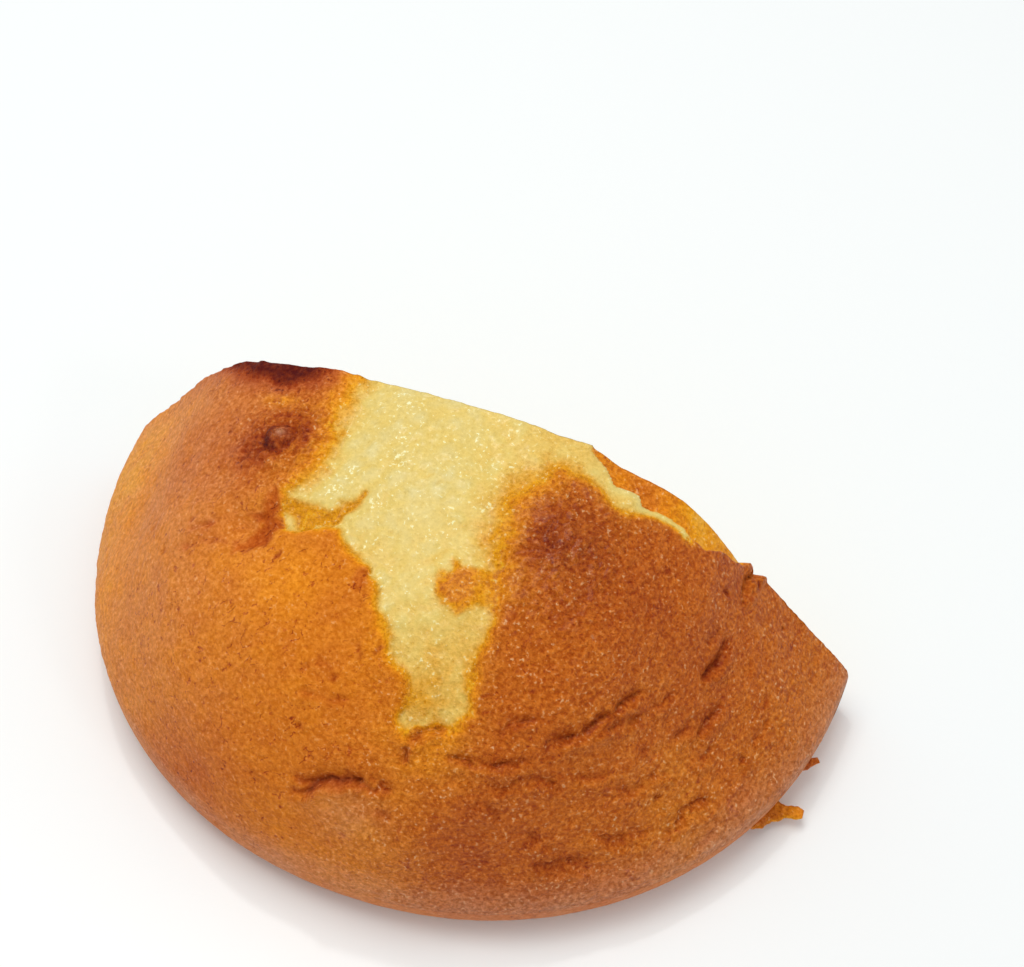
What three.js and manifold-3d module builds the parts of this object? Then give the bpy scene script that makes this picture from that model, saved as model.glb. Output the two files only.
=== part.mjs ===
// Half of a round sweet bun, cut straight down through its middle and lying on its flat base.
// The bun is a soft baked dome: thin brown crust over pale crumb, with a pale split at the crown
// where the crust opened in the oven. It holds together as one piece, so it is one closed solid.
// Millimetres, +Z up. The cut face looks along +Y, and the base lies on z = 0.

import * as THREE from "three";
import { mergeVertices } from "three/addons/utils/BufferGeometryUtils.js";
import Module from "manifold-3d";

const wasm = await Module();
wasm.setup();

// Driving dimensions of the half bun
const WIDTH = 100; // along the cut, from end to end
const DEPTH = 49.7; // from the cut face to the back of the dome
const HEIGHT = 39.5; // from the base to the crown
const EDGE_HEIGHT = 6; // the outline is widest this far above the base
const EDGE_INSET = 4; // the rolled edge brings the base this far inside the outline
const OUTLINE_POWER = 2.07; // 2 is a true half ellipse seen from above
const DOME_POWER = 2.2; // 2 is a true ellipse seen from the end, more is squarer

// Steps of the surface: columns across the width, and rows round each column
const COLUMNS = 84;
const UNDER_ROWS = 8;
const DOME_ROWS = 31;
const FACE_ROWS = 26;
const TIP_CROWDING = 0.75; // 1 packs the columns at both ends as a cosine does, 0 spaces them evenly

const HALF = WIDTH / 2;
const RISE = HEIGHT - EDGE_HEIGHT;
const BASE_SHARE = 1 - EDGE_INSET / HALF;

const clamp01 = (value) => Math.min(1, Math.max(0, value));
const bell = (value, width) => Math.exp(-((value / width) ** 2));
const radians = (degrees) => (degrees * Math.PI) / 180;

// Goes from 0 at low to 1 at high with level ends.
function ramp(value, low, high) {
  const t = clamp01((value - low) / (high - low));
  return t * t * (3 - 2 * t);
}

// How far a point on the plan is from the centre of the cut, as a share of the outline.
function planShare(x, y) {
  const across = Math.abs(x / HALF) ** OUTLINE_POWER;
  const back = Math.abs(y / DEPTH) ** OUTLINE_POWER;
  return (across + back) ** (1 / OUTLINE_POWER);
}

// Half the bun's depth at one place along the cut, or its width share at one depth share.
const outlineShare = (share) => (1 - Math.min(1, Math.abs(share)) ** OUTLINE_POWER) ** (1 / OUTLINE_POWER);

// The crown line over the cut: a round left half with a slightly tucked end, and a right half
// that falls in a long straight shoulder. Both in shares of the half width and of the rise.
const CROWN_POWER = 2.2;
const TUCK = { at: -0.88, width: 0.12, drop: 0.11 };
const SHOULDER = { at: 0.95, height: 0.15, slope: 1.72, softness: 0.03 };
function crownShare(share) {
  const round = Math.sqrt(1 - Math.min(1, Math.abs(share)) ** CROWN_POWER);
  const tucked = round - TUCK.drop * bell(share - TUCK.at, TUCK.width) * Math.min(1, round / 0.3);
  const straight = SHOULDER.height + SHOULDER.slope * (SHOULDER.at - share);
  const lower = Math.exp(-tucked / SHOULDER.softness) + Math.exp(-straight / SHOULDER.softness);
  return Math.max(0, -SHOULDER.softness * Math.log(lower));
}

// Height of the smooth dome over a point of the plan. Each slice parallel to the cut is the
// crown line made narrower and lower.
function domeHeight(x, y) {
  const depthShare = clamp01(-y / DEPTH);
  const narrow = outlineShare(depthShare);
  const low = (1 - depthShare ** DOME_POWER) ** (1 / DOME_POWER);
  const share = narrow > 0 ? clamp01(Math.abs(x / HALF) / narrow) * Math.sign(x) : 0;
  return EDGE_HEIGHT + RISE * crownShare(share) * low;
}

// Height of the underside: flat, then a quarter ellipse up to the widest outline.
function underHeight(share) {
  const t = clamp01((share - BASE_SHARE) / (1 - BASE_SHARE));
  return EDGE_HEIGHT * (1 - Math.sqrt(1 - t * t));
}

// Distance from a point of the plan to a line through the given corners.
function lineDistance(x, y, corners) {
  let nearest = Infinity;
  for (let i = 1; i < corners.length; i++) {
    const [ax, ay] = corners[i - 1];
    const [bx, by] = corners[i];
    const run = [bx - ax, by - ay];
    const t = clamp01(((x - ax) * run[0] + (y - ay) * run[1]) / (run[0] ** 2 + run[1] ** 2));
    nearest = Math.min(nearest, Math.hypot(x - ax - t * run[0], y - ay - t * run[1]));
  }
  return nearest;
}

// Relief of the crust. Round swellings and dents: place on the plan, reach and height.
const SWELLINGS = [
  { x: -30, y: 0, reachX: 4.5, reachY: 4, rise: 0.9 }, // dark baked lump at the left of the crown
  { x: -41, y: -13, reachX: 11, reachY: 13, rise: -1.2 }, // flatter left flank
  { x: -6, y: 0, reachX: 12, reachY: 12, rise: 0.6 }, // highest swell of the pale split
  { x: -21.5, y: -22.5, reachX: 3.2, reachY: 2.2, rise: -1.4 }, // dent beside the split
  { x: -23.5, y: -11, reachX: 3.5, reachY: 2.8, rise: 0.6 }, // blister on the dark spot
  { x: 14, y: -13, reachX: 5, reachY: 5, rise: 0.7 }, // fold right of the split
  { x: 6, y: -23, reachX: 3.5, reachY: 4, rise: 0.8 }, // island of crust in the split
  { x: 31, y: -9, reachX: 3.6, reachY: 7, rise: 1.2 }, // overlap of crust at the right shoulder
  { x: 23, y: 0, reachX: 6, reachY: 4.2, rise: -1.8 }, // crust torn off the top edge of the cut
  { x: 32.7, y: 0, reachX: 1.9, reachY: 3, rise: -2.6 }, // gap before the next scrap of crust
  { x: -27, y: -33, reachX: 14, reachY: 9, rise: 0.6 }, // full left cheek
  { x: 24, y: -30, reachX: 12, reachY: 9, rise: 0.5 }, // full right cheek
];

// Cracks and wrinkles: corners on the plan, width and depth.
const GROOVES = [
  { corners: [[-30, -23], [-24, -24.5], [-19, -24], [-18, -21]], width: 1.4, depth: 0.9 },
  { corners: [[-18, -20], [-12, -19], [-9, -16]], width: 1.5, depth: 1.2 },
  { corners: [[-5, -45.5], [0, -44.3], [7, -43]], width: 1.4, depth: 1.6 },
  { corners: [[4.5, -37], [5.8, -39.5], [6, -41]], width: 1.3, depth: 1.2 },
  { corners: [[17, -34.5], [24, -31], [28, -24]], width: 1.3, depth: 0.7 },
  { corners: [[10, -39], [18, -37.5]], width: 1.3, depth: 0.6 },
  { corners: [[20, -41], [30, -38]], width: 1.3, depth: 0.6 },
  { corners: [[36, -30], [40, -26]], width: 1.3, depth: 0.6 },
  { corners: [[35.7, -2], [34.5, -8], [33, -16]], width: 1.6, depth: 1.3 },
];

// The pale split runs from the crown towards the back, wide at the cut and narrow at its tip.
// It lies a little below the brown crust that it pushed apart.
const SPLIT = {
  corners: [[-17, 2], [-15, -8], [-15, -14], [-18.5, -18.5], [-9.5, -21], [-3.5, -28], [1, -33.5],
    [6, -39], [10.5, -37], [10.5, -27], [8, -19], [7, -12], [9.5, -7], [15, -4.5], [15, 2], [-17, 2]],
  sunk: 0.9,
  edge: 2,
};
function splitSink(x, y) {
  let inside = false;
  for (let i = 1; i < SPLIT.corners.length; i++) {
    const [ax, ay] = SPLIT.corners[i - 1];
    const [bx, by] = SPLIT.corners[i];
    if (ay > y !== by > y && x < ax + ((y - ay) / (by - ay)) * (bx - ax)) inside = !inside;
  }
  const distance = lineDistance(x, y, SPLIT.corners) * (inside ? 1 : -1);
  return SPLIT.sunk * ramp(distance, -SPLIT.edge / 2, SPLIT.edge / 2);
}

const UNDULATION = 0.35; // slow unevenness of the whole crust
function crustRelief(x, y) {
  let relief = UNDULATION * Math.sin(x * 0.21 + 1.3 * Math.sin(y * 0.16)) * Math.cos(y * 0.24 + x * 0.07);
  for (const s of SWELLINGS) relief += s.rise * bell(x - s.x, s.reachX) * bell(y - s.y, s.reachY);
  for (const g of GROOVES) relief -= g.depth * bell(lineDistance(x, y, g.corners), g.width);
  return relief - splitSink(x, y);
}

// Hollows of the crumb on the cut face: centre, half length, half width, turn and depth.
const HOLLOWS = [
  { x: -34.2, z: 22.6, long: 4.9, wide: 1.4, turn: 46, deep: 3.4 },
  { x: -14, z: 20.7, long: 2.3, wide: 2.3, turn: 0, deep: 4.2 },
  { x: -17.2, z: 19.6, long: 1.9, wide: 1.1, turn: 15, deep: 2.2 },
  { x: -10.6, z: 22.2, long: 1.8, wide: 1.7, turn: 0, deep: 1.6 },
  { x: -6.5, z: 20.1, long: 1.8, wide: 1.2, turn: 0, deep: 2 },
  { x: -23.7, z: 29, long: 2, wide: 1.5, turn: 80, deep: 2.6 },
  { x: -23.3, z: 24.2, long: 1.9, wide: 1.2, turn: 0, deep: 2 },
  { x: -36.1, z: 14.5, long: 2.2, wide: 1.5, turn: 90, deep: 2.2 },
  { x: -29.2, z: 9.7, long: 1.4, wide: 1.2, turn: 0, deep: 1.8 },
  { x: -20.3, z: 11, long: 2.4, wide: 1, turn: -28, deep: 2 },
  { x: -15.5, z: 6.5, long: 1.6, wide: 1.1, turn: 0, deep: 1.6 },
  { x: 2.3, z: 27.8, long: 1.8, wide: 1.3, turn: 80, deep: 3.2 },
  { x: -3, z: 26, long: 2.3, wide: 1.5, turn: 20, deep: 1.7 },
  { x: 7.7, z: 25.3, long: 1.4, wide: 1.3, turn: 0, deep: 1.9 },
  { x: 6.2, z: 19.6, long: 4, wide: 1.8, turn: 94, deep: 2 },
  { x: 9.3, z: 31, long: 1.8, wide: 1.1, turn: 0, deep: 1.8 },
  { x: 15.2, z: 32.6, long: 2.3, wide: 0.9, turn: -36, deep: 1.6 },
  { x: -8, z: 33.8, long: 2.2, wide: 1.2, turn: 0, deep: 1.5 },
  { x: 16.3, z: 25.5, long: 1.6, wide: 1.4, turn: 0, deep: 1.2 },
  { x: 19.7, z: 12.8, long: 3.2, wide: 2.4, turn: 0, deep: 3 },
  { x: 28.3, z: 19, long: 1.6, wide: 1.2, turn: 90, deep: 1.6 },
  { x: 42.7, z: 6.2, long: 1.8, wide: 1.3, turn: 10, deep: 1.8 },
  { x: 7.6, z: 4.9, long: 3, wide: 1.2, turn: 20, deep: 2.8 },
];

const CRUMB_RIPPLE = 0.45; // fine unevenness of the torn crumb, always cut in, never proud
const CRUST_BAND = 2.5; // the crust round the crumb stays whole
function faceDepth(x, z, low, high) {
  let depth = CRUMB_RIPPLE * (0.5 + 0.5 * Math.sin(x * 1.7 + 2 * Math.sin(z * 0.9)) * Math.sin(z * 1.9 + x * 0.6));
  for (const h of HOLLOWS) {
    const turn = radians(h.turn);
    const along = (x - h.x) * Math.cos(turn) + (z - h.z) * Math.sin(turn);
    const over = (z - h.z) * Math.cos(turn) - (x - h.x) * Math.sin(turn);
    depth += h.deep * Math.exp(-(((along / h.long) ** 2 + (over / h.wide) ** 2) ** 2));
  }
  const margin = Math.min(z - low, high - z, HALF - Math.abs(x));
  return depth * ramp(margin, 0, CRUST_BAND);
}

// The point of the dome at one angle of a column, from the outline at 0 to the crown line at 1.
function domePoint(x, v) {
  const y = -DEPTH * outlineShare(x / HALF) * Math.cos((v * Math.PI) / 2);
  const z = domeHeight(x, y);
  const out = new THREE.Vector3(x / HALF ** 2, y / DEPTH ** 2, (z - EDGE_HEIGHT) / RISE ** 2);
  const fade = ramp(z, EDGE_HEIGHT, EDGE_HEIGHT + 4);
  out.normalize().multiplyScalar(crustRelief(x, y) * fade);
  const point = new THREE.Vector3(x, y, z).add(out);
  point.y = v === 1 ? 0 : Math.min(point.y, -0.2);
  return point;
}

// One closed loop round the bun in the plane of a column: underside from the cut outwards,
// dome up to the crown line, then down the cut face.
function columnLoop(x) {
  const loop = [];
  const reach = DEPTH * outlineShare(x / HALF);
  for (let i = 0; i < UNDER_ROWS; i++) {
    const y = -reach * (1 - (1 - i / UNDER_ROWS) ** 3);
    loop.push(new THREE.Vector3(x, y, underHeight(planShare(x, y))));
  }
  for (let i = 0; i < DOME_ROWS; i++) loop.push(domePoint(x, i / DOME_ROWS));
  const crown = domePoint(x, 1);
  const foot = loop[0];
  for (let i = 0; i < FACE_ROWS; i++) {
    const point = crown.clone().lerp(foot, i / FACE_ROWS);
    if (i > 0) point.y = -faceDepth(point.x, point.z, foot.z, crown.z);
    loop.push(point);
  }
  return loop;
}

// The columns joined into one closed surface, with a single point at each end of the cut.
function bunGeometry() {
  const loops = [];
  for (let i = 1; i < COLUMNS; i++) {
    const t = i / COLUMNS;
    const even = 2 * t - 1;
    const crowded = -Math.cos(Math.PI * t);
    loops.push(columnLoop(HALF * (even + (crowded - even) * TIP_CROWDING)));
  }
  const rows = loops[0].length;
  const points = loops.flat();
  const leftTip = points.push(new THREE.Vector3(-HALF, 0, EDGE_HEIGHT)) - 1;
  const rightTip = points.push(new THREE.Vector3(HALF, 0, EDGE_HEIGHT)) - 1;
  const faces = [];
  const last = (loops.length - 1) * rows;
  for (let row = 0; row < rows; row++) {
    const next = (row + 1) % rows;
    for (let i = 0; i < loops.length - 1; i++) {
      const a = i * rows + row;
      const b = i * rows + next;
      const c = a + rows;
      const d = b + rows;
      if ((i + row) % 2) faces.push(a, c, b, b, c, d);
      else faces.push(a, c, d, a, d, b);
    }
    faces.push(leftTip, row, next);
    faces.push(rightTip, last + next, last + row);
  }
  return new THREE.BufferGeometry().setFromPoints(points).setIndex(faces);
}

// Torn scraps of base crust that still hang on at the right of the rolled edge.
const TONGUE = {
  outline: [[43.6, -20.6], [44.8, -22.4], [46.9, -20.7], [48.2, -19.8], [49.9, -19],
    [49.8, -17.4], [48.6, -17.3], [47.9, -16], [46.2, -14.6]],
  bottom: 1.2,
  thick: 1.3,
};
const SLIVER = {
  outline: [[46.6, -13.6], [48.3, -13.8], [49.3, -12.6], [49.9, -11], [49.4, -10.4], [47.2, -10.6]],
  bottom: 3.6,
  thick: 1.5,
};
function scrapGeometry(scrap) {
  const outline = new THREE.Shape(scrap.outline.map(([x, y]) => new THREE.Vector2(x, y)));
  const geometry = new THREE.ExtrudeGeometry(outline, { depth: scrap.thick, bevelEnabled: false });
  return geometry.translate(0, 0, scrap.bottom);
}

// A closed geometry as a solid that can be joined to another.
function solidOf(geometry) {
  geometry.deleteAttribute("normal");
  geometry.deleteAttribute("uv");
  const merged = mergeVertices(geometry, 1e-4);
  const vertProperties = new Float32Array(merged.attributes.position.array);
  const triVerts = new Uint32Array(merged.index.array);
  return new wasm.Manifold(new wasm.Mesh({ numProp: 3, vertProperties, triVerts }));
}

function geometryOf(solid) {
  const { vertProperties, triVerts } = solid.getMesh();
  const geometry = new THREE.BufferGeometry();
  geometry.setAttribute("position", new THREE.BufferAttribute(vertProperties, 3));
  geometry.setIndex(new THREE.BufferAttribute(triVerts, 1));
  geometry.computeVertexNormals();
  return geometry;
}

// The half bun with its scraps, moved so that its origin is under the middle of its box.
function halfBun() {
  const solid = solidOf(bunGeometry()).add(solidOf(scrapGeometry(TONGUE))).add(solidOf(scrapGeometry(SLIVER)));
  const geometry = geometryOf(solid);
  geometry.computeBoundingBox();
  const centre = geometry.boundingBox.getCenter(new THREE.Vector3());
  geometry.translate(-centre.x, -centre.y, -geometry.boundingBox.min.z);
  const crust = new THREE.MeshStandardMaterial({ color: 0xc27a35, roughness: 0.75, metalness: 0 });
  const mesh = new THREE.Mesh(geometry, crust);
  mesh.name = "bun_half";
  return mesh;
}

const bun = new THREE.Group();
bun.add(halfBun());

export default bun;
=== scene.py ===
"""Half of a round sweet bun, cut straight down through its middle and lying on its base crust.

Shapes are worked out in millimetres on the bun's own plan: x along the cut, y = 0 on the cut and
negative towards the back of the dome, z up from the base. They go into the meshes in metres.
"""

import math

import bpy
import numpy as np
from mathutils import Matrix, Vector


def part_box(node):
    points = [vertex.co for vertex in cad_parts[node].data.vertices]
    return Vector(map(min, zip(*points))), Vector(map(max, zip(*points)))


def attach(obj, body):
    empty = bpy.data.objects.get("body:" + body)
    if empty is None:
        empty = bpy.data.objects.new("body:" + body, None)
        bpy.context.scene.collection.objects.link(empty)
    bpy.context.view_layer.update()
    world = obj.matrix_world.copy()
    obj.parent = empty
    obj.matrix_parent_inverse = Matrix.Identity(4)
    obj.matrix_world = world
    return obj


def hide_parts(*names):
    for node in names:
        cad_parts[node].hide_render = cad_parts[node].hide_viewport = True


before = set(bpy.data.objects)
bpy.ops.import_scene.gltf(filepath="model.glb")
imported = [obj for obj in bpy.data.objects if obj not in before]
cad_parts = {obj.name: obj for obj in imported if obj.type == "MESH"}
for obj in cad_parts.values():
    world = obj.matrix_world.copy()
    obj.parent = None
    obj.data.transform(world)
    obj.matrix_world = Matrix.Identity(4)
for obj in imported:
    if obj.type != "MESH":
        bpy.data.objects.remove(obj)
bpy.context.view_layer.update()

# Baked crust
# The outside of the half bun: a thin skin of sweet dough that browned in the oven over the dome and
# the base, and stayed pale where it split open at the crown. It is one closed shell that wraps the
# edge of the cut, with a pocket behind the cut for the crumb.
MM = 0.001
LOW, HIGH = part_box("bun_half")
HALF = (HIGH.x - LOW.x) / 2 / MM  # half the width along the cut
DEPTH = (HIGH.y - LOW.y) / MM  # from the cut to the back of the dome
CUT_FOOT = np.array([0, HIGH.y, LOW.z]) / MM  # middle of the foot of the cut
RISE = 33.5  # from the widest outline to the crown
EDGE_HEIGHT = 6  # the outline is widest this far above the base
BASE_SHARE = 0.92  # the flat base as a share of the outline
OUTLINE_POWER = 2.07  # 2 is a true half ellipse seen from above
DOME_POWER = 2.2  # 2 is a true ellipse seen from the end, more is squarer
CROWN_POWER = 2.2
TUCK = 0.11  # the left end of the crown line is tucked in by this share of the rise
TUCK_AT = -0.88  # and is tucked in most at this share of the half width
TUCK_REACH = 0.12
TUCK_FADE = 0.3  # below this share of the rise the tuck fades out
SHOULDER_END = 0.95  # the straight right shoulder ends at this share of the half width
SHOULDER_FOOT = 0.15  # its height there, as a share of the rise
SHOULDER_SLOPE = 1.72
CROWN_SOFTNESS = 0.03  # of the corner between the round crown and the shoulder


def bell(value, width):
    """A bell curve, 1 at zero: exp(-(value / width)^2)."""
    return np.exp(-((value / width) ** 2))


def oval(x, y, at_x, at_y, reach_x, reach_y):
    """An oval swell on the plan, 1 at its middle: a bell along x times a bell along y."""
    return bell(x - at_x, reach_x) * bell(y - at_y, reach_y)


def round_spot(x, y, middle, reach):
    """A round swell on the plan, 1 at its middle: a bell of the distance from there."""
    return bell(np.hypot(x - middle[0], y - middle[1]), reach)


def ramp(value, low, high):
    """0 at low, 1 at high, level at both ends: 3t^2 - 2t^3 of the share t of the way."""
    t = np.clip((value - low) / (high - low), 0, 1)
    return t * t * (3 - 2 * t)


def unit(vectors):
    """Vectors divided by their own length, which makes them 1 long."""
    return vectors / np.maximum(np.linalg.norm(vectors, axis=-1, keepdims=True), 1e-9)


def outline_share(share):
    """Half depth of the plan at a share of its half width: (1 - |s|^p)^(1/p)."""
    return (1 - np.minimum(1, np.abs(share)) ** OUTLINE_POWER) ** (1 / OUTLINE_POWER)


def crown_share(share):
    """Height of the crown line at a share of the half width. A round curve, (1 - |s|^p)^(1/2),
    tucked in at the left end by a bell, and a straight shoulder at the right meet in a soft
    minimum: minus the logarithm of the sum of e^-height."""
    round_curve = np.sqrt(1 - np.minimum(1, np.abs(share)) ** CROWN_POWER)
    tuck = TUCK * bell(share - TUCK_AT, TUCK_REACH) * np.minimum(1, round_curve / TUCK_FADE)
    shoulder = SHOULDER_FOOT + SHOULDER_SLOPE * (SHOULDER_END - share)
    lower = np.exp((tuck - round_curve) / CROWN_SOFTNESS) + np.exp(-shoulder / CROWN_SOFTNESS)
    return np.maximum(0, -CROWN_SOFTNESS * np.log(lower))


def dome_height(x, y):
    """Height of the smooth dome: each slice parallel to the cut is the crown line, made narrower
    by the outline and lower by (1 - d^p)^(1/p) of its share d of the depth."""
    deep = np.clip(-y / DEPTH, 0, 1)
    narrow = np.maximum(outline_share(deep), 1e-6)
    lower = (1 - deep**DOME_POWER) ** (1 / DOME_POWER)
    share = np.minimum(1, np.abs(x / HALF) / narrow) * np.sign(x)
    return EDGE_HEIGHT + RISE * crown_share(share) * lower


def under_height(x, y):
    """Height of the underside: flat, then a quarter ellipse up to the widest outline."""
    share = (np.abs(x / HALF) ** OUTLINE_POWER + np.abs(y / DEPTH) ** OUTLINE_POWER) ** (1 / OUTLINE_POWER)
    t = np.clip((share - BASE_SHARE) / (1 - BASE_SHARE), 0, 1)
    return EDGE_HEIGHT * (1 - np.sqrt(1 - t * t))


SCATTER_WEIGHTS = np.array([12.9898, 78.233, 37.719])
# Noise is turned so that its cubes line up with neither the cut nor the base
NOISE_TURN = np.array(Matrix.Rotation(0.9, 3, Vector((0.3, 0.8, 0.5))))


def scatter(cells, seed):
    """A steady random number from 0 to 1 for each whole-number cell: what is left after the point
    of a large sine of the cell's weighted sum."""
    large = np.sin(cells @ SCATTER_WEIGHTS + seed * 4.137) * 43758.5453
    return large - np.floor(large)


def cloud(points, size, seed, octaves=1):
    """Smooth noise from -1 to 1 with lumps of the given size: random numbers at the corners of
    cubes, blended by cubic weights. Each further octave is half as large and half as strong."""
    total, strength, reach = 0, 1, 0
    for octave in range(octaves):
        scaled = points @ NOISE_TURN / size * 2**octave
        cell = np.floor(scaled)
        part = scaled - cell
        weight = part * part * (3 - 2 * part)
        value = 0
        for corner in np.ndindex(2, 2, 2):
            share = np.prod(np.where(corner, weight, 1 - weight), axis=-1)
            value = value + share * scatter(cell + corner, seed + octave)
        total = total + strength * (2 * value - 1)
        reach += strength
        strength /= 2
    return total / reach


def bubbles(points, size, seed):
    """One random point in each cube of the given size. Gives the distances in cubes to the nearest
    and to the next nearest of them, and a random number of the nearest."""
    scaled = points / size
    cell = np.floor(scaled)
    near = np.full(scaled.shape[:-1], 9.0)
    following = near.copy()
    chance = np.zeros_like(near)
    for step in np.ndindex(3, 3, 3):
        other = cell + step - 1
        offset = np.stack([scatter(other, seed + axis) for axis in range(3)], axis=-1)
        distance = np.linalg.norm(other + offset - scaled, axis=-1)
        closer = distance < near
        following = np.where(closer, near, np.minimum(following, distance))
        chance = np.where(closer, scatter(other, seed + 3), chance)
        near = np.where(closer, distance, near)
    return near, following, chance


def line_distance(x, y, corners):
    """Distance on the plan to a line through the corners, and how far along it, from 0 to 1."""
    nearest = np.full(np.shape(x), np.inf)
    along = np.zeros(np.shape(x))
    for i in range(1, len(corners)):
        start, end = np.array(corners[i - 1][:2]), np.array(corners[i][:2])
        run = end - start
        t = np.clip(((x - start[0]) * run[0] + (y - start[1]) * run[1]) / (run @ run), 0, 1)
        distance = np.hypot(x - start[0] - t * run[0], y - start[1] - t * run[1])
        along = np.where(distance < nearest, (i - 1 + t) / (len(corners) - 1), along)
        nearest = np.minimum(nearest, distance)
    return nearest, along


def area_depth(x, y, corners):
    """How far a point of the plan lies inside a closed outline, negative outside it, and how far
    along the outline that is, from 0 to 1. A point is inside where a line from it along x crosses
    the outline an odd number of times."""
    inside = np.zeros(np.shape(x), bool)
    closed = corners + corners[:1]
    for i in range(1, len(closed)):
        (ax, ay), (bx, by) = closed[i - 1][:2], closed[i][:2]
        crosses = (ay > y) != (by > y)
        slope = (bx - ax) / (by - ay) if by != ay else 0
        inside ^= crosses & (x < ax + slope * (y - ay))
    distance, along = line_distance(x, y, closed)
    return np.where(inside, distance, -distance), along


# Round swellings and dents of the crust: x, y, reach along x, reach along y, rise
SWELLINGS = [
    (-30, 0, 4.5, 4, 0.9),  # dark baked lump at the left of the crown
    (-41, -13, 11, 13, -1.2),  # flatter left flank
    (-6, 0, 12, 12, 0.6),  # highest swell of the pale split
    (-21.5, -22.5, 3.2, 2.2, -1.4),  # dent beside the split
    (-23.5, -11, 3.5, 2.8, 0.6),  # blister on the dark spot
    (14, -13, 5, 5, 0.7),  # fold right of the split
    (6, -23, 3.5, 3, 0.4),  # island of crust in the split
    (31, -9, 3.6, 7, 1.2),  # overlap of crust at the right shoulder
    (-27, -33, 14, 9, 0.6),  # full left cheek
    (24, -30, 12, 9, 0.5),  # full right cheek
    (-22, -10.8, 1.1, 1.1, 0.5),  # small glossy bubble on the blister
    (-26.8, -13.2, 0.8, 0.8, 0.25),  # dry bump beside it
    (20, -5.4, 1.6, 1.5, 0.5),  # lump of dough on the torn edge
    (1, -43.2, 1.6, 0.7, 0.5),  # flap over the slit
    (-1, -46.4, 4.5, 1.3, 0.5),  # swollen lip under the slit
]

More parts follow.
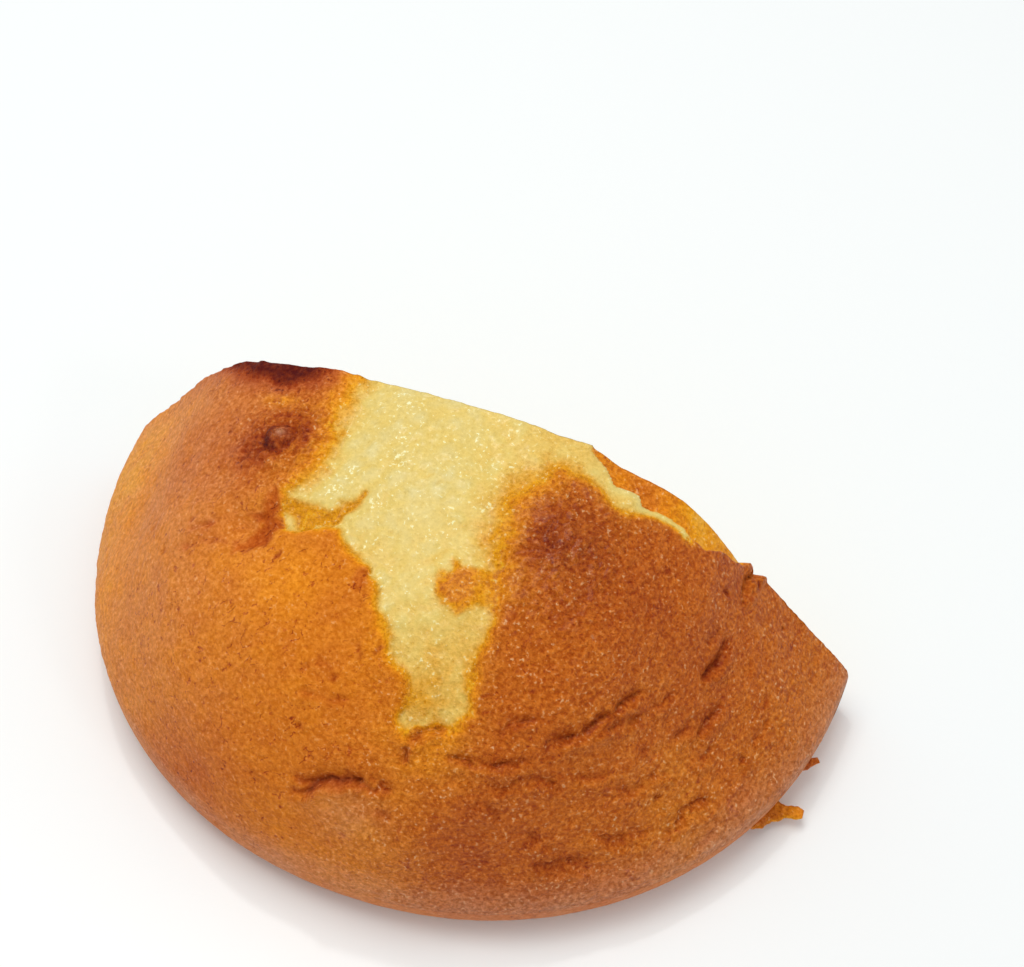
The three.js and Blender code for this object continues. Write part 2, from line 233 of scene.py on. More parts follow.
# Cracks and wrinkles: corners on the plan, width, depth and how dark they are, as stain and painted shade
# down the crack
GROOVES = [
    ([(-4.8, -46.2), (-3.6, -45.5), (-2.5, -45), (-1.2, -44.7), (0, -44.3), (1.4, -44.1), (2.6, -43.9)],
     0.34, 1.2, 1.0),  # slit near the back
    ([(-5.6, -45.3), (-3.4, -44.8), (-1.4, -44.2), (1, -43.5), (4, -43)], 0.8, 0.25, 0.2),  # fold over it
    ([(-6.4, -45.1), (-4.8, -45.4), (-3, -45.2)], 0.25, 0.5, 0.7),
    ([(-6.2, -46.3), (-4, -45.8)], 0.25, 0.45, 0.6),
    ([(1, -44.1), (2.6, -44.2), (4.4, -43.8), (5.8, -43.9)], 0.28, 0.6, 0.7),
    ([(-0.2, -43.4), (0.4, -43.7), (1.2, -44)], 0.25, 0.5, 0.7),
    ([(1.8, -43.2), (3, -43.5), (3.8, -43.3)], 0.25, 0.35, 0.5),
    ([(3.6, -45.4), (5, -45.8), (6.2, -45.8)], 0.25, 0.3, 0.4),
    ([(5.8, -39.6), (6.1, -40.4), (6.5, -41.4)], 0.35, 0.9, 0.8),  # tear below the split
    ([(9.8, -37.2), (8.4, -37.5), (7.2, -38.5), (6.2, -39.6)], 0.35, 0.6, 0.5),
    ([(6.8, -32), (7.5, -33.8), (7.6, -35.4), (6.6, -36.8)], 0.3, 0.35, 0.25),
    ([(-29, -23.5), (-27, -23), (-25.6, -22.4)], 0.4, 0.4, 0.4),  # steps of the dent
    ([(-28.6, -25.4), (-26, -24.8), (-24, -24.6), (-22.4, -25)], 0.35, 0.45, 0.35),
    ([(-32, -25.4), (-31, -25.7)], 0.3, 0.3, 0.5),
    ([(29, -22.7), (27.5, -24.5), (26, -27), (25.2, -28.3), (24.6, -29.5), (23.5, -31), (22.3, -32.2),
      (20.6, -33.9)], 0.32, 0.85, 0.68),
    ([(29.7, -24.3), (28, -26.5), (26.5, -28), (24.8, -29.9)], 0.26, 0.55, 0.45),
    ([(19.5, -32), (17, -33.5), (15.9, -34.8), (15.6, -35.9)], 0.32, 0.6, 0.5),
    ([(20, -35.8), (17.8, -37.3), (16, -38.2), (13.5, -38.8), (10, -39.5)], 0.28, 0.65, 0.54),
    ([(23.7, -35.3), (20, -37), (18, -38.6), (15.6, -40.1)], 0.26, 0.5, 0.41),
    ([(28.4, -38.6), (26, -40), (24, -41.2), (22.2, -42.2)], 0.28, 0.55, 0.59),
    ([(32, -34.6), (30, -35.8), (27.6, -36.7)], 0.26, 0.45, 0.41),
    ([(33.8, -32.8), (31.2, -34.2)], 0.26, 0.35, 0.36),
    ([(39.7, -24.8), (39.2, -26), (38, -27.5), (36.8, -28.8), (36.5, -30), (35.1, -32.2)], 0.28, 0.6, 0.59),
    ([(33.9, -26.8), (33, -27.7), (31.7, -29.1)], 0.26, 0.45, 0.45),
    ([(35, -20.8), (34.2, -22.6), (33.1, -24.5)], 0.25, 0.35, 0.36),
    ([(38, -21.4), (37, -23), (35.7, -24.6)], 0.25, 0.35, 0.32),
    ([(32.2, -20), (31, -21.9), (30, -23.7)], 0.25, 0.35, 0.36),
    ([(27.4, -31.6), (26, -33), (24.4, -34.2)], 0.25, 0.35, 0.32),
    ([(31.6, -29.6), (30, -31.4), (28.6, -32.2)], 0.25, 0.35, 0.32),
    ([(21, -40.6), (22.6, -40.2), (24.2, -39.8)], 0.26, 0.4, 0.41),
    ([(14.8, -41.9), (16.4, -41.3), (18.2, -41.2)], 0.26, 0.35, 0.41),
    ([(41, -27.4), (40, -29.6), (38.6, -31)], 0.25, 0.3, 0.32),
    ([(42.6, -14), (42, -16.4), (41.7, -18)], 0.25, 0.3, 0.27),
    ([(30.2, -27.3), (30.4, -28)], 0.31, 0.45, 0.72),  # pits
    ([(33.6, -29.6), (33.4, -30.3)], 0.26, 0.4, 0.63),
    ([(41.5, -19.6), (41.4, -20.3)], 0.26, 0.4, 0.63),
    ([(33.3, -6.6), (33.3, -7.4)], 0.44, 0.5, 0.63),
    ([(20.6, -33.6), (21.2, -35)], 0.26, 0.4, 0.45),
    ([(36.2, 1), (35.5, -2), (35.4, -6.4)], 0.37, 1.2, 0.14),  # fold at the right shoulder
    ([(35.4, -10.3), (35.2, -14), (33.9, -17.2)], 0.32, 0.9, 0.68),
    ([(34.1, -10.8), (33.2, -13.7)], 0.26, 0.35, 0.32),
    ([(37.2, -17), (36.3, -20.3), (35.6, -22.2)], 0.3, 0.55, 0.59),
    ([(13.1, -10.8), (12.7, -13), (12.3, -14.5)], 0.53, 0.35, 0.11),  # red fold
    ([(16.2, -14), (14, -14.8), (12, -16), (10.5, -17), (9.6, -18.7)], 0.53, 0.35, 0.14),
    ([(19.2, -15.8), (19.3, -18), (19.4, -20.2), (17.4, -23.4)], 0.44, 0.3, 0.18),
    ([(-8.2, -38.5), (-6, -38.2), (-3.8, -38.3), (-1.8, -37.9)], 0.28, 0.35, 0.4),
    ([(-7, -34.8), (-5.6, -35), (-4.6, -35.8)], 0.28, 0.3, 0.35),
    ([(-3.3, -32.3), (-2.1, -33.8)], 0.28, 0.35, 0.4),
    ([(-1.9, -42.2), (-1.7, -43)], 0.3, 0.4, 0.8),
    ([(-4.4, -35.7), (-4.5, -36.6)], 0.28, 0.4, 0.7),
    ([(-6.8, -40.9), (-6.7, -41.6)], 0.28, 0.35, 0.6),
]

# Sunken places with a torn outline: outline, how deep, how brown inside
SUNKEN = [
    ([(-18.8, -18.1), (-15, -18.3), (-12.4, -18.9), (-11.6, -17.2), (-10.3, -16.6), (-9.6, -14.9),
      (-8.7, -15.3), (-9.2, -17.6), (-11, -20.2), (-13.6, -21.2), (-14.4, -22.2), (-16, -21.6),
      (-16.4, -20.6), (-18, -19.8)], 0.6, 0.33),  # amber hollow at the left of the split
    ([(-22, -21.1), (-20.3, -20.6), (-19.6, -17.6), (-18.6, -18.6), (-18.1, -20.8), (-17, -21.9),
      (-17.9, -22.9), (-17.8, -25), (-20, -25.2), (-21.6, -26), (-22, -24.6), (-20.6, -24.6),
      (-20.2, -22)], 0.55, 0.74),  # raw red-brown step beside it
    ([(-26.6, -22.6), (-25, -21.9), (-25.3, -22.8), (-26.8, -24)], 0.3, 0.66),
    ([(-28.8, -25.2), (-27.8, -24.8), (-28, -26), (-28.7, -26)], 0.25, 0.66),
    ([(5.8, -39.3), (6.4, -38.3), (7.8, -37.5), (10, -37), (8.6, -37.9), (7.2, -38.9), (6.6, -39.6)],
     0.7, 0.5),  # amber slot at the tip of the split
    ([(-6, -24.6), (-5.2, -24.4), (-4.6, -26), (-5.2, -27.4), (-6.2, -26)], 0.2, 0.64),
]

# Outline of the pale split on the plan: x, y and how softly its colour goes over there
SPLIT = [
    (-17.2, 6, 4.2), (-16.8, 0, 4), (-16.6, -4, 3.6), (-16, -8, 2.8), (-15.2, -12, 2.4), (-16.4, -15.4, 2.2),
    (-18.5, -17.6, 1.2), (-18.8, -19.6, 0.7), (-16.9, -21.9, 0.6), (-15, -22.3, 0.8), (-12, -21.5, 1.2),
    (-10.3, -21.2, 0.8), (-8.5, -23, 0.9), (-6, -24.2, 0.8), (-4, -25.6, 0.9), (-3, -28, 1.1),
    (-1.5, -29.8, 1.2), (0, -31.2, 1.2), (1.2, -33.3, 0.9), (3.4, -34.2, 0.9), (3.9, -36.2, 0.6),
    (4, -38.3, 0.6), (5.5, -39.1, 0.5), (7.6, -37.9, 0.5), (10, -37.3, 0.6), (12, -35, 0.7),
    (11.3, -33.4, 1), (10.7, -30, 1.2), (10.9, -26.5, 1.5), (11.4, -22.5, 2), (10, -19.5, 2.9),
    (8, -16.5, 3.5), (7.5, -12, 3.8), (8.7, -8.4, 3.8), (11.2, -5.6, 3.2), (13.6, -5, 1.8), (17, -5.8, 1.2),
    (19.5, -7.3, 0.9), (22, -6, 0.7), (22.4, -2, 0.7), (18, 6, 0.7),
]
SPLIT_SUNK = 0.9  # the pale dough lies this far below the brown crust
SPLIT_RIM = 0.22  # the crust swells by this much along the sharp stretches of its edge

# Crust torn off the top edge of the cut at the right: the outline of what is missing
TEAR = [(13.4, 3), (14, -0.8), (16.4, -2.4), (18, -4.2), (19, -3.9), (21, -3.7), (21.8, -4.8), (23.5, -4.4),
        (25.4, -4), (28.2, -4.5), (30, -4.4), (31.4, -2.8), (33.2, -2.2), (34.8, -0.8), (35.2, 3)]
TEAR_DEEP = 1.7  # what is left there lies this far lower


def split_depth(x, y, points):
    """How far a point lies inside the pale split, and how softly its colour goes over there. Fine
    and slow noise is added to the distance, the more of it the softer the edge is."""
    depth, along = area_depth(x, y, [corner[:2] for corner in SPLIT])
    stops = np.arange(len(SPLIT) + 1)
    softness = np.interp(along * len(SPLIT), stops, [corner[2] for corner in SPLIT + SPLIT[:1]])
    feather = 0.85 * cloud(points, 1.6, 21, 4) + 0.35 * cloud(points, 5, 25)
    return depth + feather * np.minimum(2.2, 0.5 + 0.5 * softness), softness


def tear_depth(x, y, points):
    """How far a point lies inside the torn-off strip: the distance to its outline, plus noise that
    makes the edge ragged."""
    return area_depth(x, y, TEAR)[0] + 0.3 * cloud(points, 1.4, 31, 3)


GROOVE_REACH = 3  # a groove changes nothing farther off than this
GROOVE_WANDER = 0.5  # and strays this far from its line
RIDGE_AT = (0.6, -0.5)  # the low ridge beside a groove, from its line


def groove_depth(x, y, points):
    """Depth of the cracks and wrinkles, and their stain with painted shade: e^-((distance / 1.3
    width)^1.25) across each line, which wanders, is deep in places only and fades out at its ends,
    with a low ridge beside it."""
    total, stain_and_shade = np.zeros(x.shape), np.zeros(x.shape)
    for number, (corners, width, depth, dark) in enumerate(GROOVES):
        low_x, low_y = np.min(corners, axis=0) - GROOVE_REACH
        high_x, high_y = np.max(corners, axis=0) + GROOVE_REACH
        near = (x > low_x) & (x < high_x) & (y > low_y) & (y < high_y)
        spots = points[near]
        at_x = x[near] + GROOVE_WANDER * cloud(spots, 1.7, 140 + number, 4)
        at_y = y[near] + GROOVE_WANDER * cloud(spots, 1.7, 190 + number, 4)
        distance, along = line_distance(at_x, at_y, corners)
        beside, _ = line_distance(at_x - RIDGE_AT[0], at_y - RIDGE_AT[1], corners)
        fade = ramp(along, -0.02, 0.15) * ramp(1 - along, -0.02, 0.15)
        if dark < 1:
            fade = fade * ramp(cloud(spots, 1.2, 240 + number, 2), -0.7, 0.1)
        crack = np.exp(-(distance / (1.3 * width)) ** 1.25)
        total[near] += depth * fade * (1.15 * crack - 0.7 * bell(beside, 0.5))
        stain_and_shade[near] = np.maximum(stain_and_shade[near], dark * fade * crack)
    return total, np.clip(stain_and_shade, 0, 1)


def sunken_depth(x, y, points, values=None):
    """Depth of the sunken places: a steep ramp of the distance inside each outline, made ragged by
    noise, times how deep it is. Values, where given, are drawn to each place's own brown."""
    total = 0
    for number, (corners, deep, brown) in enumerate(SUNKEN):
        inside = area_depth(x, y, corners)[0] + 0.7 * cloud(points, 1.5, 300 + number, 4)
        total = total + deep * ramp(inside, -0.3, 0.7)
        if values is not None:
            values = values + (brown - values) * ramp(inside, -0.45, 0.5)
    return total, values


GRAIN_MIDDLE = -10  # the grain of the right flank runs round this y on the crown
GRAIN_RADIUS = 32  # turns its angle into millimetres
GRAIN_LEAN = (0.57, 0.82)  # on the left flank the grain is straight and leans this way


def round_crown(x, y):
    """Places along and across the grain of the right flank, which runs round the crown: the angle
    times a fixed radius, and the distance from the crown."""
    off_y = y - GRAIN_MIDDLE
    return np.stack([GRAIN_RADIUS * np.arctan2(off_y, x), np.hypot(x, off_y), 0 * x], axis=-1)


def dash_depth(x, y, points):
    """Short torn cracks where gas broke through the skin, 0 to 1 at their middle: scattered points
    in a space stretched along the grain of each flank, with small round ones between them. Clouds
    thin all of them out in places."""
    lean_x, lean_y = GRAIN_LEAN
    straight = np.stack([lean_x * x + lean_y * y, lean_y * x - lean_x * y, 0 * x], axis=-1)
    bent = 0.35 * cloud(points, 0.9, 121, 2)[..., None]
    right = ramp(x, -6, 10)
    total = 0
    for grain, share, seed in ((round_crown(x, y), right, 80), (straight, 1 - right, 84)):
        near, _, chance = bubbles(grain * np.array([0.45, 1.25, 1]) + bent, 2.2, seed)
        picked = ramp(chance + 0.12 * right, 0.62, 0.9)
        total = np.maximum(total, share * ramp(0.22 - near, 0, 0.14) * picked)
    near, _, chance = bubbles(points, 2.3, 88)
    small = ramp(0.14 - near, 0, 0.1) * ramp(chance, 0.7, 0.9)
    patchy = 0.25 + 0.75 * ramp(cloud(points, 7, 92, 2), -0.25, 0.35)
    return np.maximum(total, small) * patchy


BLISTER = (-22.1, -10.9)  # middle of the small bubble on the dark spot
BLISTER_SHINE = (-21.9, -10.8)  # it is glossy round here
# A painted highlight lies on the top of the bubble, drawn in the pale dust colour
BLISTER_HIGHLIGHT = (-21.7, -10.7)  # and dry and light on its top


def blister(x, y, points):
    """Relief and browning of the blister on the dark spot: a small bubble, a moat round it, and
    arcs of skin pushed up beyond on its far side, as bells of the distance from its middle."""
    apart = np.hypot(x - BLISTER[0], y - BLISTER[1]) + 0.35 * cloud(points, 1.2, 123, 2)
    beyond = ramp(x + y, -34.5, -31)
    form = 0.55 * bell(apart, 0.95) - 0.3 * bell(apart - 1.9, 0.5)
    form = form + beyond * (0.28 * bell(apart - 2.8, 0.4) + 0.22 * bell(apart - 4, 0.4))
    return form, 0.16 * bell(apart - 1.5, 0.7) + beyond * 0.12 * bell(apart - 3.4, 0.35)


def cobbles(points):
    """Rough glossy cobbles about 1 mm across, from -1 in the seams to 1: how much farther off the
    next nearest of scattered points lies than the nearest."""
    bent = points + 0.35 * cloud(points, 0.9, 125, 2)[..., None]
    near, following, _ = bubbles(bent, 1.25, 127)
    return 2 * ramp(following - near, 0, 0.55) - 1


def dough_lumps(points):
    """Soft lumps of the moist dough in the split, about -1 to 1: clouds, and rounded lumps with
    lower seams between them, from how much farther off the next of scattered points lies."""
    bent = points + 1.1 * cloud(points, 1.8, 141, 2)[..., None]
    near, following, _ = bubbles(bent, 2.7, 143)
    rounded = ramp(following - near, 0, 0.7) - 0.5
    return 0.7 * cloud(points, 3.8, 107, 2) + 0.6 * cloud(points, 1.3, 109, 3) + 0.9 * rounded


def crust_form(x, y):
    """The large relief of the crust: a slow undulation and the swellings, each an oval swell."""
    relief = 0.35 * np.sin(x * 0.21 + 1.3 * np.sin(y * 0.16)) * np.cos(y * 0.24 + x * 0.07)
    for *place_and_reach, rise in SWELLINGS:
        relief = relief + rise * oval(x, y, *place_and_reach)
    return relief


# How brown the crust is, from 0 for pale cream to 1 for nearly black: patches laid over the brown
# of the whole, each with x, y, reach along x, reach along y and how much browner
BROWN = 0.56
PATCHES = [
    (-22, -10.6, 3.2, 3, 0.09),  # dark spot round the blister
    (-25.2, -13.2, 2.8, 2.2, 0.17),  # its tail
    (-23.5, -16, 2.8, 3, 0.07),
    (-24, -8, 7, 5, 0.06),
    (-26, 0.4, 7.5, 3.6, 0.6),  # baked lump at the left of the crest
    (-36, 0, 9, 3, 0.14),
    (-24.5, -5.4, 2.6, 1.2, -0.2),  # orange below the lump
    (-19.2, -9.8, 0.8, 3, 0.12),  # red streak right of the spot
    (-18.3, -13.8, 2.6, 3, -0.04),  # lighter rough skin below it
    (-34, -13, 6, 7, 0.13),
    (12.8, -13.8, 2.2, 3, 0.15),  # red fold right of the split
    (18, -12, 4, 5, 0.03),
    (22, -2.6, 8, 2, 0.12),
    (30, -6, 5, 3.5, 0.02),
    (22, -15, 9, 7, 0.04),  # dark right of the split
    (12, -24, 1.5, 3, 0.1),
    (34, -14, 3, 6, 0.03),
    (20, -5.5, 3, 1.6, -0.15),  # orange under the torn edge
    (-13, -28.5, 5, 4.5, -0.1),
    (-20, -26, 5, 3, -0.02),
    (-25, -34, 7, 6, -0.03),
    (-20, -40, 9, 4, -0.03),
    (36, -30, 5, 6, -0.12),
    (28, -36, 5, 4, -0.03),
    (10, -39, 4, 4, -0.12),  # lighter skin below the tip of the split
    (13, -45.5, 6, 4, 0.04),  # dark low at the back
    (-23, -46, 9, 5, 0.11),  # dark low left
    # Painted light on the lip under the slit, whose top faces up
    (1, -46.6, 4, 1.3, -0.05),  # lighter lip under the slit
    (-46, -8, 4, 8, -0.08),
]

# How the brown changes along the cut: from x, to x and how much browner it is beyond
FLANKS = [(4, 16, 0.11), (-24, -46, -0.13), (34, 48, -0.05)]

# Where the brown skin is rough and glossy, round the dark spot left of the split and on the dark
# skin right of it: x, y, reach along x, reach along y and how rough
ROUGH = [(-21, -10.5, 6, 6.5, 1.3), (16, -14, 7, 8, 0.9)]


def rough_share(x, y):
    """How rough and glossy the brown skin is, 0 to 1: the sum of its oval swells."""
    return np.clip(sum(much * oval(x, y, *place) for *place, much in ROUGH), 0, 1)


# Outline of the scrap of orange crust that is left in the split
ISLAND = [(3.4, -22.2), (4.4, -20.6), (6.4, -20.9), (8.4, -20.2), (11.6, -18.6), (12.6, -22), (11.6, -25),
          (9.6, -23.9), (8, -24.6), (6.4, -26), (4.6, -25.2), (3.4, -24)]


def island_share(x, y, points):
    """Where the scrap of orange crust lies in the split, 0 to 1: a ramp of the distance inside its
    outline, made ragged by noise."""
    return ramp(area_depth(x, y, ISLAND)[0] + 1.1 * cloud(points, 1.9, 97, 4), -0.9, 0.5)


# Places in the split where small drops of fat shine, their shine painted as clusters of highlight flecks
DEW = [(-9, -2.8), (-8, -7.5), (-7, -10.5), (-12, -14), (-7.2, -16.4), (-13.3, -16.8), (4, -8), (5, -12.5)]


def dew_share(x, y):
    """Where the moist dough gets the most painted highlight flecks, 0 to 1: the highest of the round swells
    at the drops.
    """
    return np.max([round_spot(x, y, drop, 1.4) for drop in DEW], axis=0)


def split_bake(x, y, points):
    """How brown the dough in the split is: hardly at all, a little more towards the back and the
    right, less on its lumps, with an amber spot near its tip and the island of orange crust."""
    pale = 0.06 + 0.045 * ramp(-y, 8, 36) + 0.095 * ramp(x, -2, 11) - 0.065 * dough_lumps(points)
    pale = pale + 0.12 * oval(x, y, 5, -35.4, 2.6, 1.8)
    orange = 0.48 - 0.1 * ramp(x, 4, 9) + 0.06 * cloud(points, 1.2, 99, 3)
    return pale + (orange - pale) * island_share(x, y, points)


def crust_bake(x, y, points):
    """How brown each point is: the brown of the whole with its clouds, flanks, patches and blister,
    the painted highlight and shade of the cobbles, and lighter near the split. Then the split is let
    in by a ramp of its depth, as long as it is soft there, and each sunken place draws it to its own
    brown."""
    brown = BROWN + 0.035 * cloud(points, 9, 90, 3) + 0.05 * cloud(points, 2.2, 94, 4)
    for low, high, more in FLANKS:
        brown = brown + more * ramp(x, low, high)
    bent_x, bent_y = (1.3 * cloud(points, 3, seed, 4) for seed in (131, 137))
    for at_x, at_y, reach_x, reach_y, more in PATCHES:
        spread = np.hypot((x + bent_x - at_x) / reach_x, (y + bent_y - at_y) / reach_y)
        brown = brown + more * np.exp(-(spread**2.2))
    # Cobble tops are drawn lighter and their seams browner: painted highlight and shade of the rough skin
    brown = brown + blister(x, y, points)[1] - 0.05 * rough_share(x, y) * cobbles(points)
    inside, softness = split_depth(x, y, points)
    near_rim = np.exp(-np.maximum(0, -inside) / 2.5)
    brown = brown - near_rim * (0.05 + 0.07 * ramp(softness, 1.2, 3.5))
    share = ramp(inside, -softness * 1.05, softness * 1.3)
    bake = split_bake(x, y, points) * share + brown * (1 - share)
    return sunken_depth(x, y, points, bake)[1]


def form_relief(x, y, points, inside, softness, missing):
    """The larger forms: the swellings and the blister, a swollen rim where the split has a sharp
    edge, less how far the split has sunk, which ends at the right, and the strip torn off."""
    rim = SPLIT_RIM * ramp(2.6 - softness, 0, 1.4) * bell(inside + 0.8, 0.9) * (1 - missing)
    sunk = SPLIT_SUNK * ramp(inside, -0.3 - 0.4 * softness, 0.3 + 0.5 * softness) * (1 - ramp(x, 9, 14))
    torn_off = TEAR_DEEP * missing * (0.3 + 0.7 * ramp(x, 13.5, 18.5))
    return crust_form(x, y) + blister(x, y, points)[0] + rim - sunk - torn_off


def skin_relief(x, y, points, pale, missing, dashes):
    """The fine relief. On the brown skin: grain, leathery ridges round the crown on the right,
    cobbles where it is rough, and torn dough on the baked lump of the crest. In the split: lumps
    and a fine cloud. The short cracks are cut into both."""
    flank = round_crown(x, y) * np.array([0.4, 1, 1])
    grain = 0.09 * cloud(points, 1.6, 101, 2) + 0.05 * cloud(points, 0.7, 103)
    grain = grain + 0.15 * ramp(x, -6, 10) * cloud(flank, 0.9, 105, 2)
    grain = grain + (0.03 + 0.2 * rough_share(x, y) + 0.02 * ramp(x, -6, 12)) * cobbles(points)
    torn = 0.5 * bell(y, 3) * cloud(points, 3, 119, 4) + 0.3 * bell(y, 1.5) * cloud(points, 1.1, 121, 2)
    grain = grain + torn * bell(x + 29, 15)
    moist = 0.2 * dough_lumps(points) + 0.07 * cloud(points, 0.8, 112, 2)
    fine = (1 - pale) * grain + pale * moist
    return fine * (1 - 0.4 * missing) - dashes * (0.3 - 0.2 * pale)


def crust_wet(x, y, pale, missing):
    """How moist each point is: dry skin, glossier on the right, where it is rough and on the
    blister, and moist dough in the split, where drops take it above 1 for painted highlight flecks.
    The torn strip is dull."""
    skin = 0.1 + 0.4 * ramp(x, -6, 12) + 0.5 * rough_share(x, y)
    skin = skin + 0.4 * round_spot(x, y, BLISTER_SHINE, 1.2)
    moist = pale * (1 + 0.4 * dew_share(x, y))
    return (moist + skin * (1 - pale)) * (1 - missing) + 0.3 * missing


def crust_dust_and_sheen(x, y, z, points, bake, dry):
    """How much each point is drawn towards a pale dusty pink, as dust with painted sheen and bounce
    light: low on the dome and on the left flank, as painted light at the lip of the slit, in clouds,
    where it is dry and not dark, and as a painted highlight on the top of the blister."""
    dust_and_sheen = np.maximum(ramp(EDGE_HEIGHT + 7 - z, 0, 7), 0.65 * ramp(-x, 6, 44))
    # Painted light on the lip under the slit
    dust_and_sheen = dust_and_sheen + 0.6 * oval(x, y, 1, -46.6, 4, 1.6)
    dust_and_sheen = dust_and_sheen * (0.75 + 0.5 * cloud(points, 2.5, 151, 3)) * (1 - ramp(bake, 0.74, 0.86))
    return np.clip(dust_and_sheen * dry, 0, 1) + 1.2 * round_spot(x, y, BLISTER_HIGHLIGHT, 0.5)


COLUMNS = 424  # of the crust's mesh, along the cut
UNDER_ROWS = 24  # of points in each column, on the underside
DOME_ROWS = 196  # and from the outline up to the crown line
TIP_CROWDING = 0.75  # 1 packs the columns at both ends as a cosine does, 0 spaces them evenly
EDGE_BACK = 0.25  # the edges of the dome and the base lie at least this far behind the cut
RIM = 0.8  # the crust wraps this far over the edge of the cut
POCKET = 7  # depth of the pocket behind the cut
# The lip of crust over the edge of the cut: shares of the rim, and how far behind the cut. The
# last is the edge of the pocket's floor, as deep as the pocket is there.
LIP = [(0.1, 0.12), (0.4, 0), (0.75, 0.03), (0.95, 0.2), (1, 0.9), (4.5, math.inf)]


def crowded_columns(count, reach, crowding):
    """Places of the columns along the cut, from minus reach to reach: between even steps and the
    crowding of a cosine at both ends."""
    t = np.arange(1, count) / count
    even = 2 * t - 1
    return reach * (even + (-np.cos(np.pi * t) - even) * crowding)


def steepness(height, x):
    """How much longer the line of a height along the cut is than its run: (1 + slope^2)^(1/2)."""
    return np.hypot(1, np.gradient(height(x, 0), x))


def dome_points(x, v):
    """The dome at one angle of each column, from the outline at 0 to the crown line at 1, pushed
    out along the dome's normal by its relief. Gives the points, how brown and wet they are, the
    painted shade of their creases and cracks, and their dust with painted sheen and light."""
    y = -DEPTH * outline_share(x / HALF) * np.cos(v * np.pi / 2)
    z = dome_height(x, y)
    points = np.stack(np.broadcast_arrays(x, y, z), axis=-1)
    x = points[..., 0]
    out = unit(np.stack([x / HALF**2, y / DEPTH**2, (z - EDGE_HEIGHT) / RISE**2], axis=-1))
    inside, softness = split_depth(x, y, points)
    torn = tear_depth(x, y, points)
    pale = ramp(inside, -0.5 * softness, 0.7 * softness)
    missing = ramp(torn, -0.2, 0.25)
    grooves, stain_and_shade = groove_depth(x, y, points)
    dashes = dash_depth(x, y, points) * (1 - missing)
    sunken, _ = sunken_depth(x, y, points)
    form = form_relief(x, y, points, inside, softness, missing) - grooves - sunken
    relief = form * ramp(z, EDGE_HEIGHT, EDGE_HEIGHT + 4)
    relief = relief + skin_relief(x, y, points, pale, missing, dashes)
    points = points + out * relief[..., None]
    points[..., 1] = np.minimum(points[..., 1], -EDGE_BACK)
    bake = crust_bake(x, y, points)
    pale_rim = bell(torn + 0.6, 0.7) * ramp(29.5 - x, 0, 2.5) * ramp(x, 15, 19)
    bake = bake + (0.07 - bake) * pale_rim
    # Where the strip tore off, the bared crumb is painted amber-brown as shadow with orange bounce light,
    # lighter towards the right
    ledge_shadow = 0.5 - 0.16 * ramp(x, 22, 29) + 0.14 * cloud(points, 2.4, 129, 4)
    bake = bake + (ledge_shadow - bake) * missing
    # Painted shade in the cracks, wrinkles and short cracks, less of it in the pale split
    crease_shade = np.clip(np.maximum(stain_and_shade, 0.85 * dashes) * (1 - 0.7 * pale), 0, 1)
    pale = pale * (1 - 0.6 * island_share(x, y, points))
    dry = (1 - pale) * (1 - missing) * (1 - rough_share(x, y)) * (1 - ramp(sunken, 0, 0.3))
    dust_and_sheen = crust_dust_and_sheen(x, y, z, points, bake, dry)
    return points, bake, crust_wet(x, y, pale, missing), crease_shade, dust_and_sheen


def under_points(x, edge_bake):
    """The underside of each column from the cut outwards, its rows crowded towards the outline by a
    cube, and how brown it is: it takes on the brown of the dome's edge on its way up."""
    share = 1 - (1 - np.arange(UNDER_ROWS)[None, :] / UNDER_ROWS) ** 3
    y = -DEPTH * outline_share(x / HALF) * share
    y[:, 0] = -EDGE_BACK
    z = under_height(x, y)
    points = np.stack(np.broadcast_arrays(x, y, z), axis=-1)
    rolled = ramp(z, 0, 1.5)
    points[..., 2] += 0.1 * rolled * cloud(points, 1.8, 111, 2)
    bake = 0.6 + 0.06 * cloud(points, 6, 113, 3) - 0.05 * (1 - rolled)
    return points, bake + (edge_bake - bake) * ramp(z, 2, EDGE_HEIGHT)


def lip_rows(crown, foot):
    """The rows of the lip below the crown line, and above the foot of the cut in the order back to
    it. Each lies its share of the rim inwards, measured square to the edge, and never as far as the
    middle of the cut. The pocket gets shallow towards both tips."""
    x = foot[:, 0]
    tall = crown[:, 2] - foot[:, 2]
    ragged = 1 + 0.3 * cloud(crown, 1.3, 115, 2)
    rim_top = RIM * steepness(dome_height, x) * ragged
    rim_foot = RIM * steepness(under_height, x) * ragged
    pocket = 0.2 + POCKET * ramp(HALF - np.abs(x), 1.5, 6)
    top_rows, bottom_rows = [], []
    for share, back in LIP:
        deep = np.minimum(back, pocket)
        most = 0.45 * tall * share / (share + 0.3)
        top = crown[:, 2] - np.minimum(share * rim_top, most)
        bottom = foot[:, 2] + np.minimum(share * rim_foot, most)
        top_rows.append(np.stack([crown[:, 0], -deep, top], axis=-1))
        bottom_rows.append(np.stack([x, -deep, bottom], axis=-1))
    return np.stack(top_rows, axis=1), np.stack(bottom_rows[::-1], axis=1)


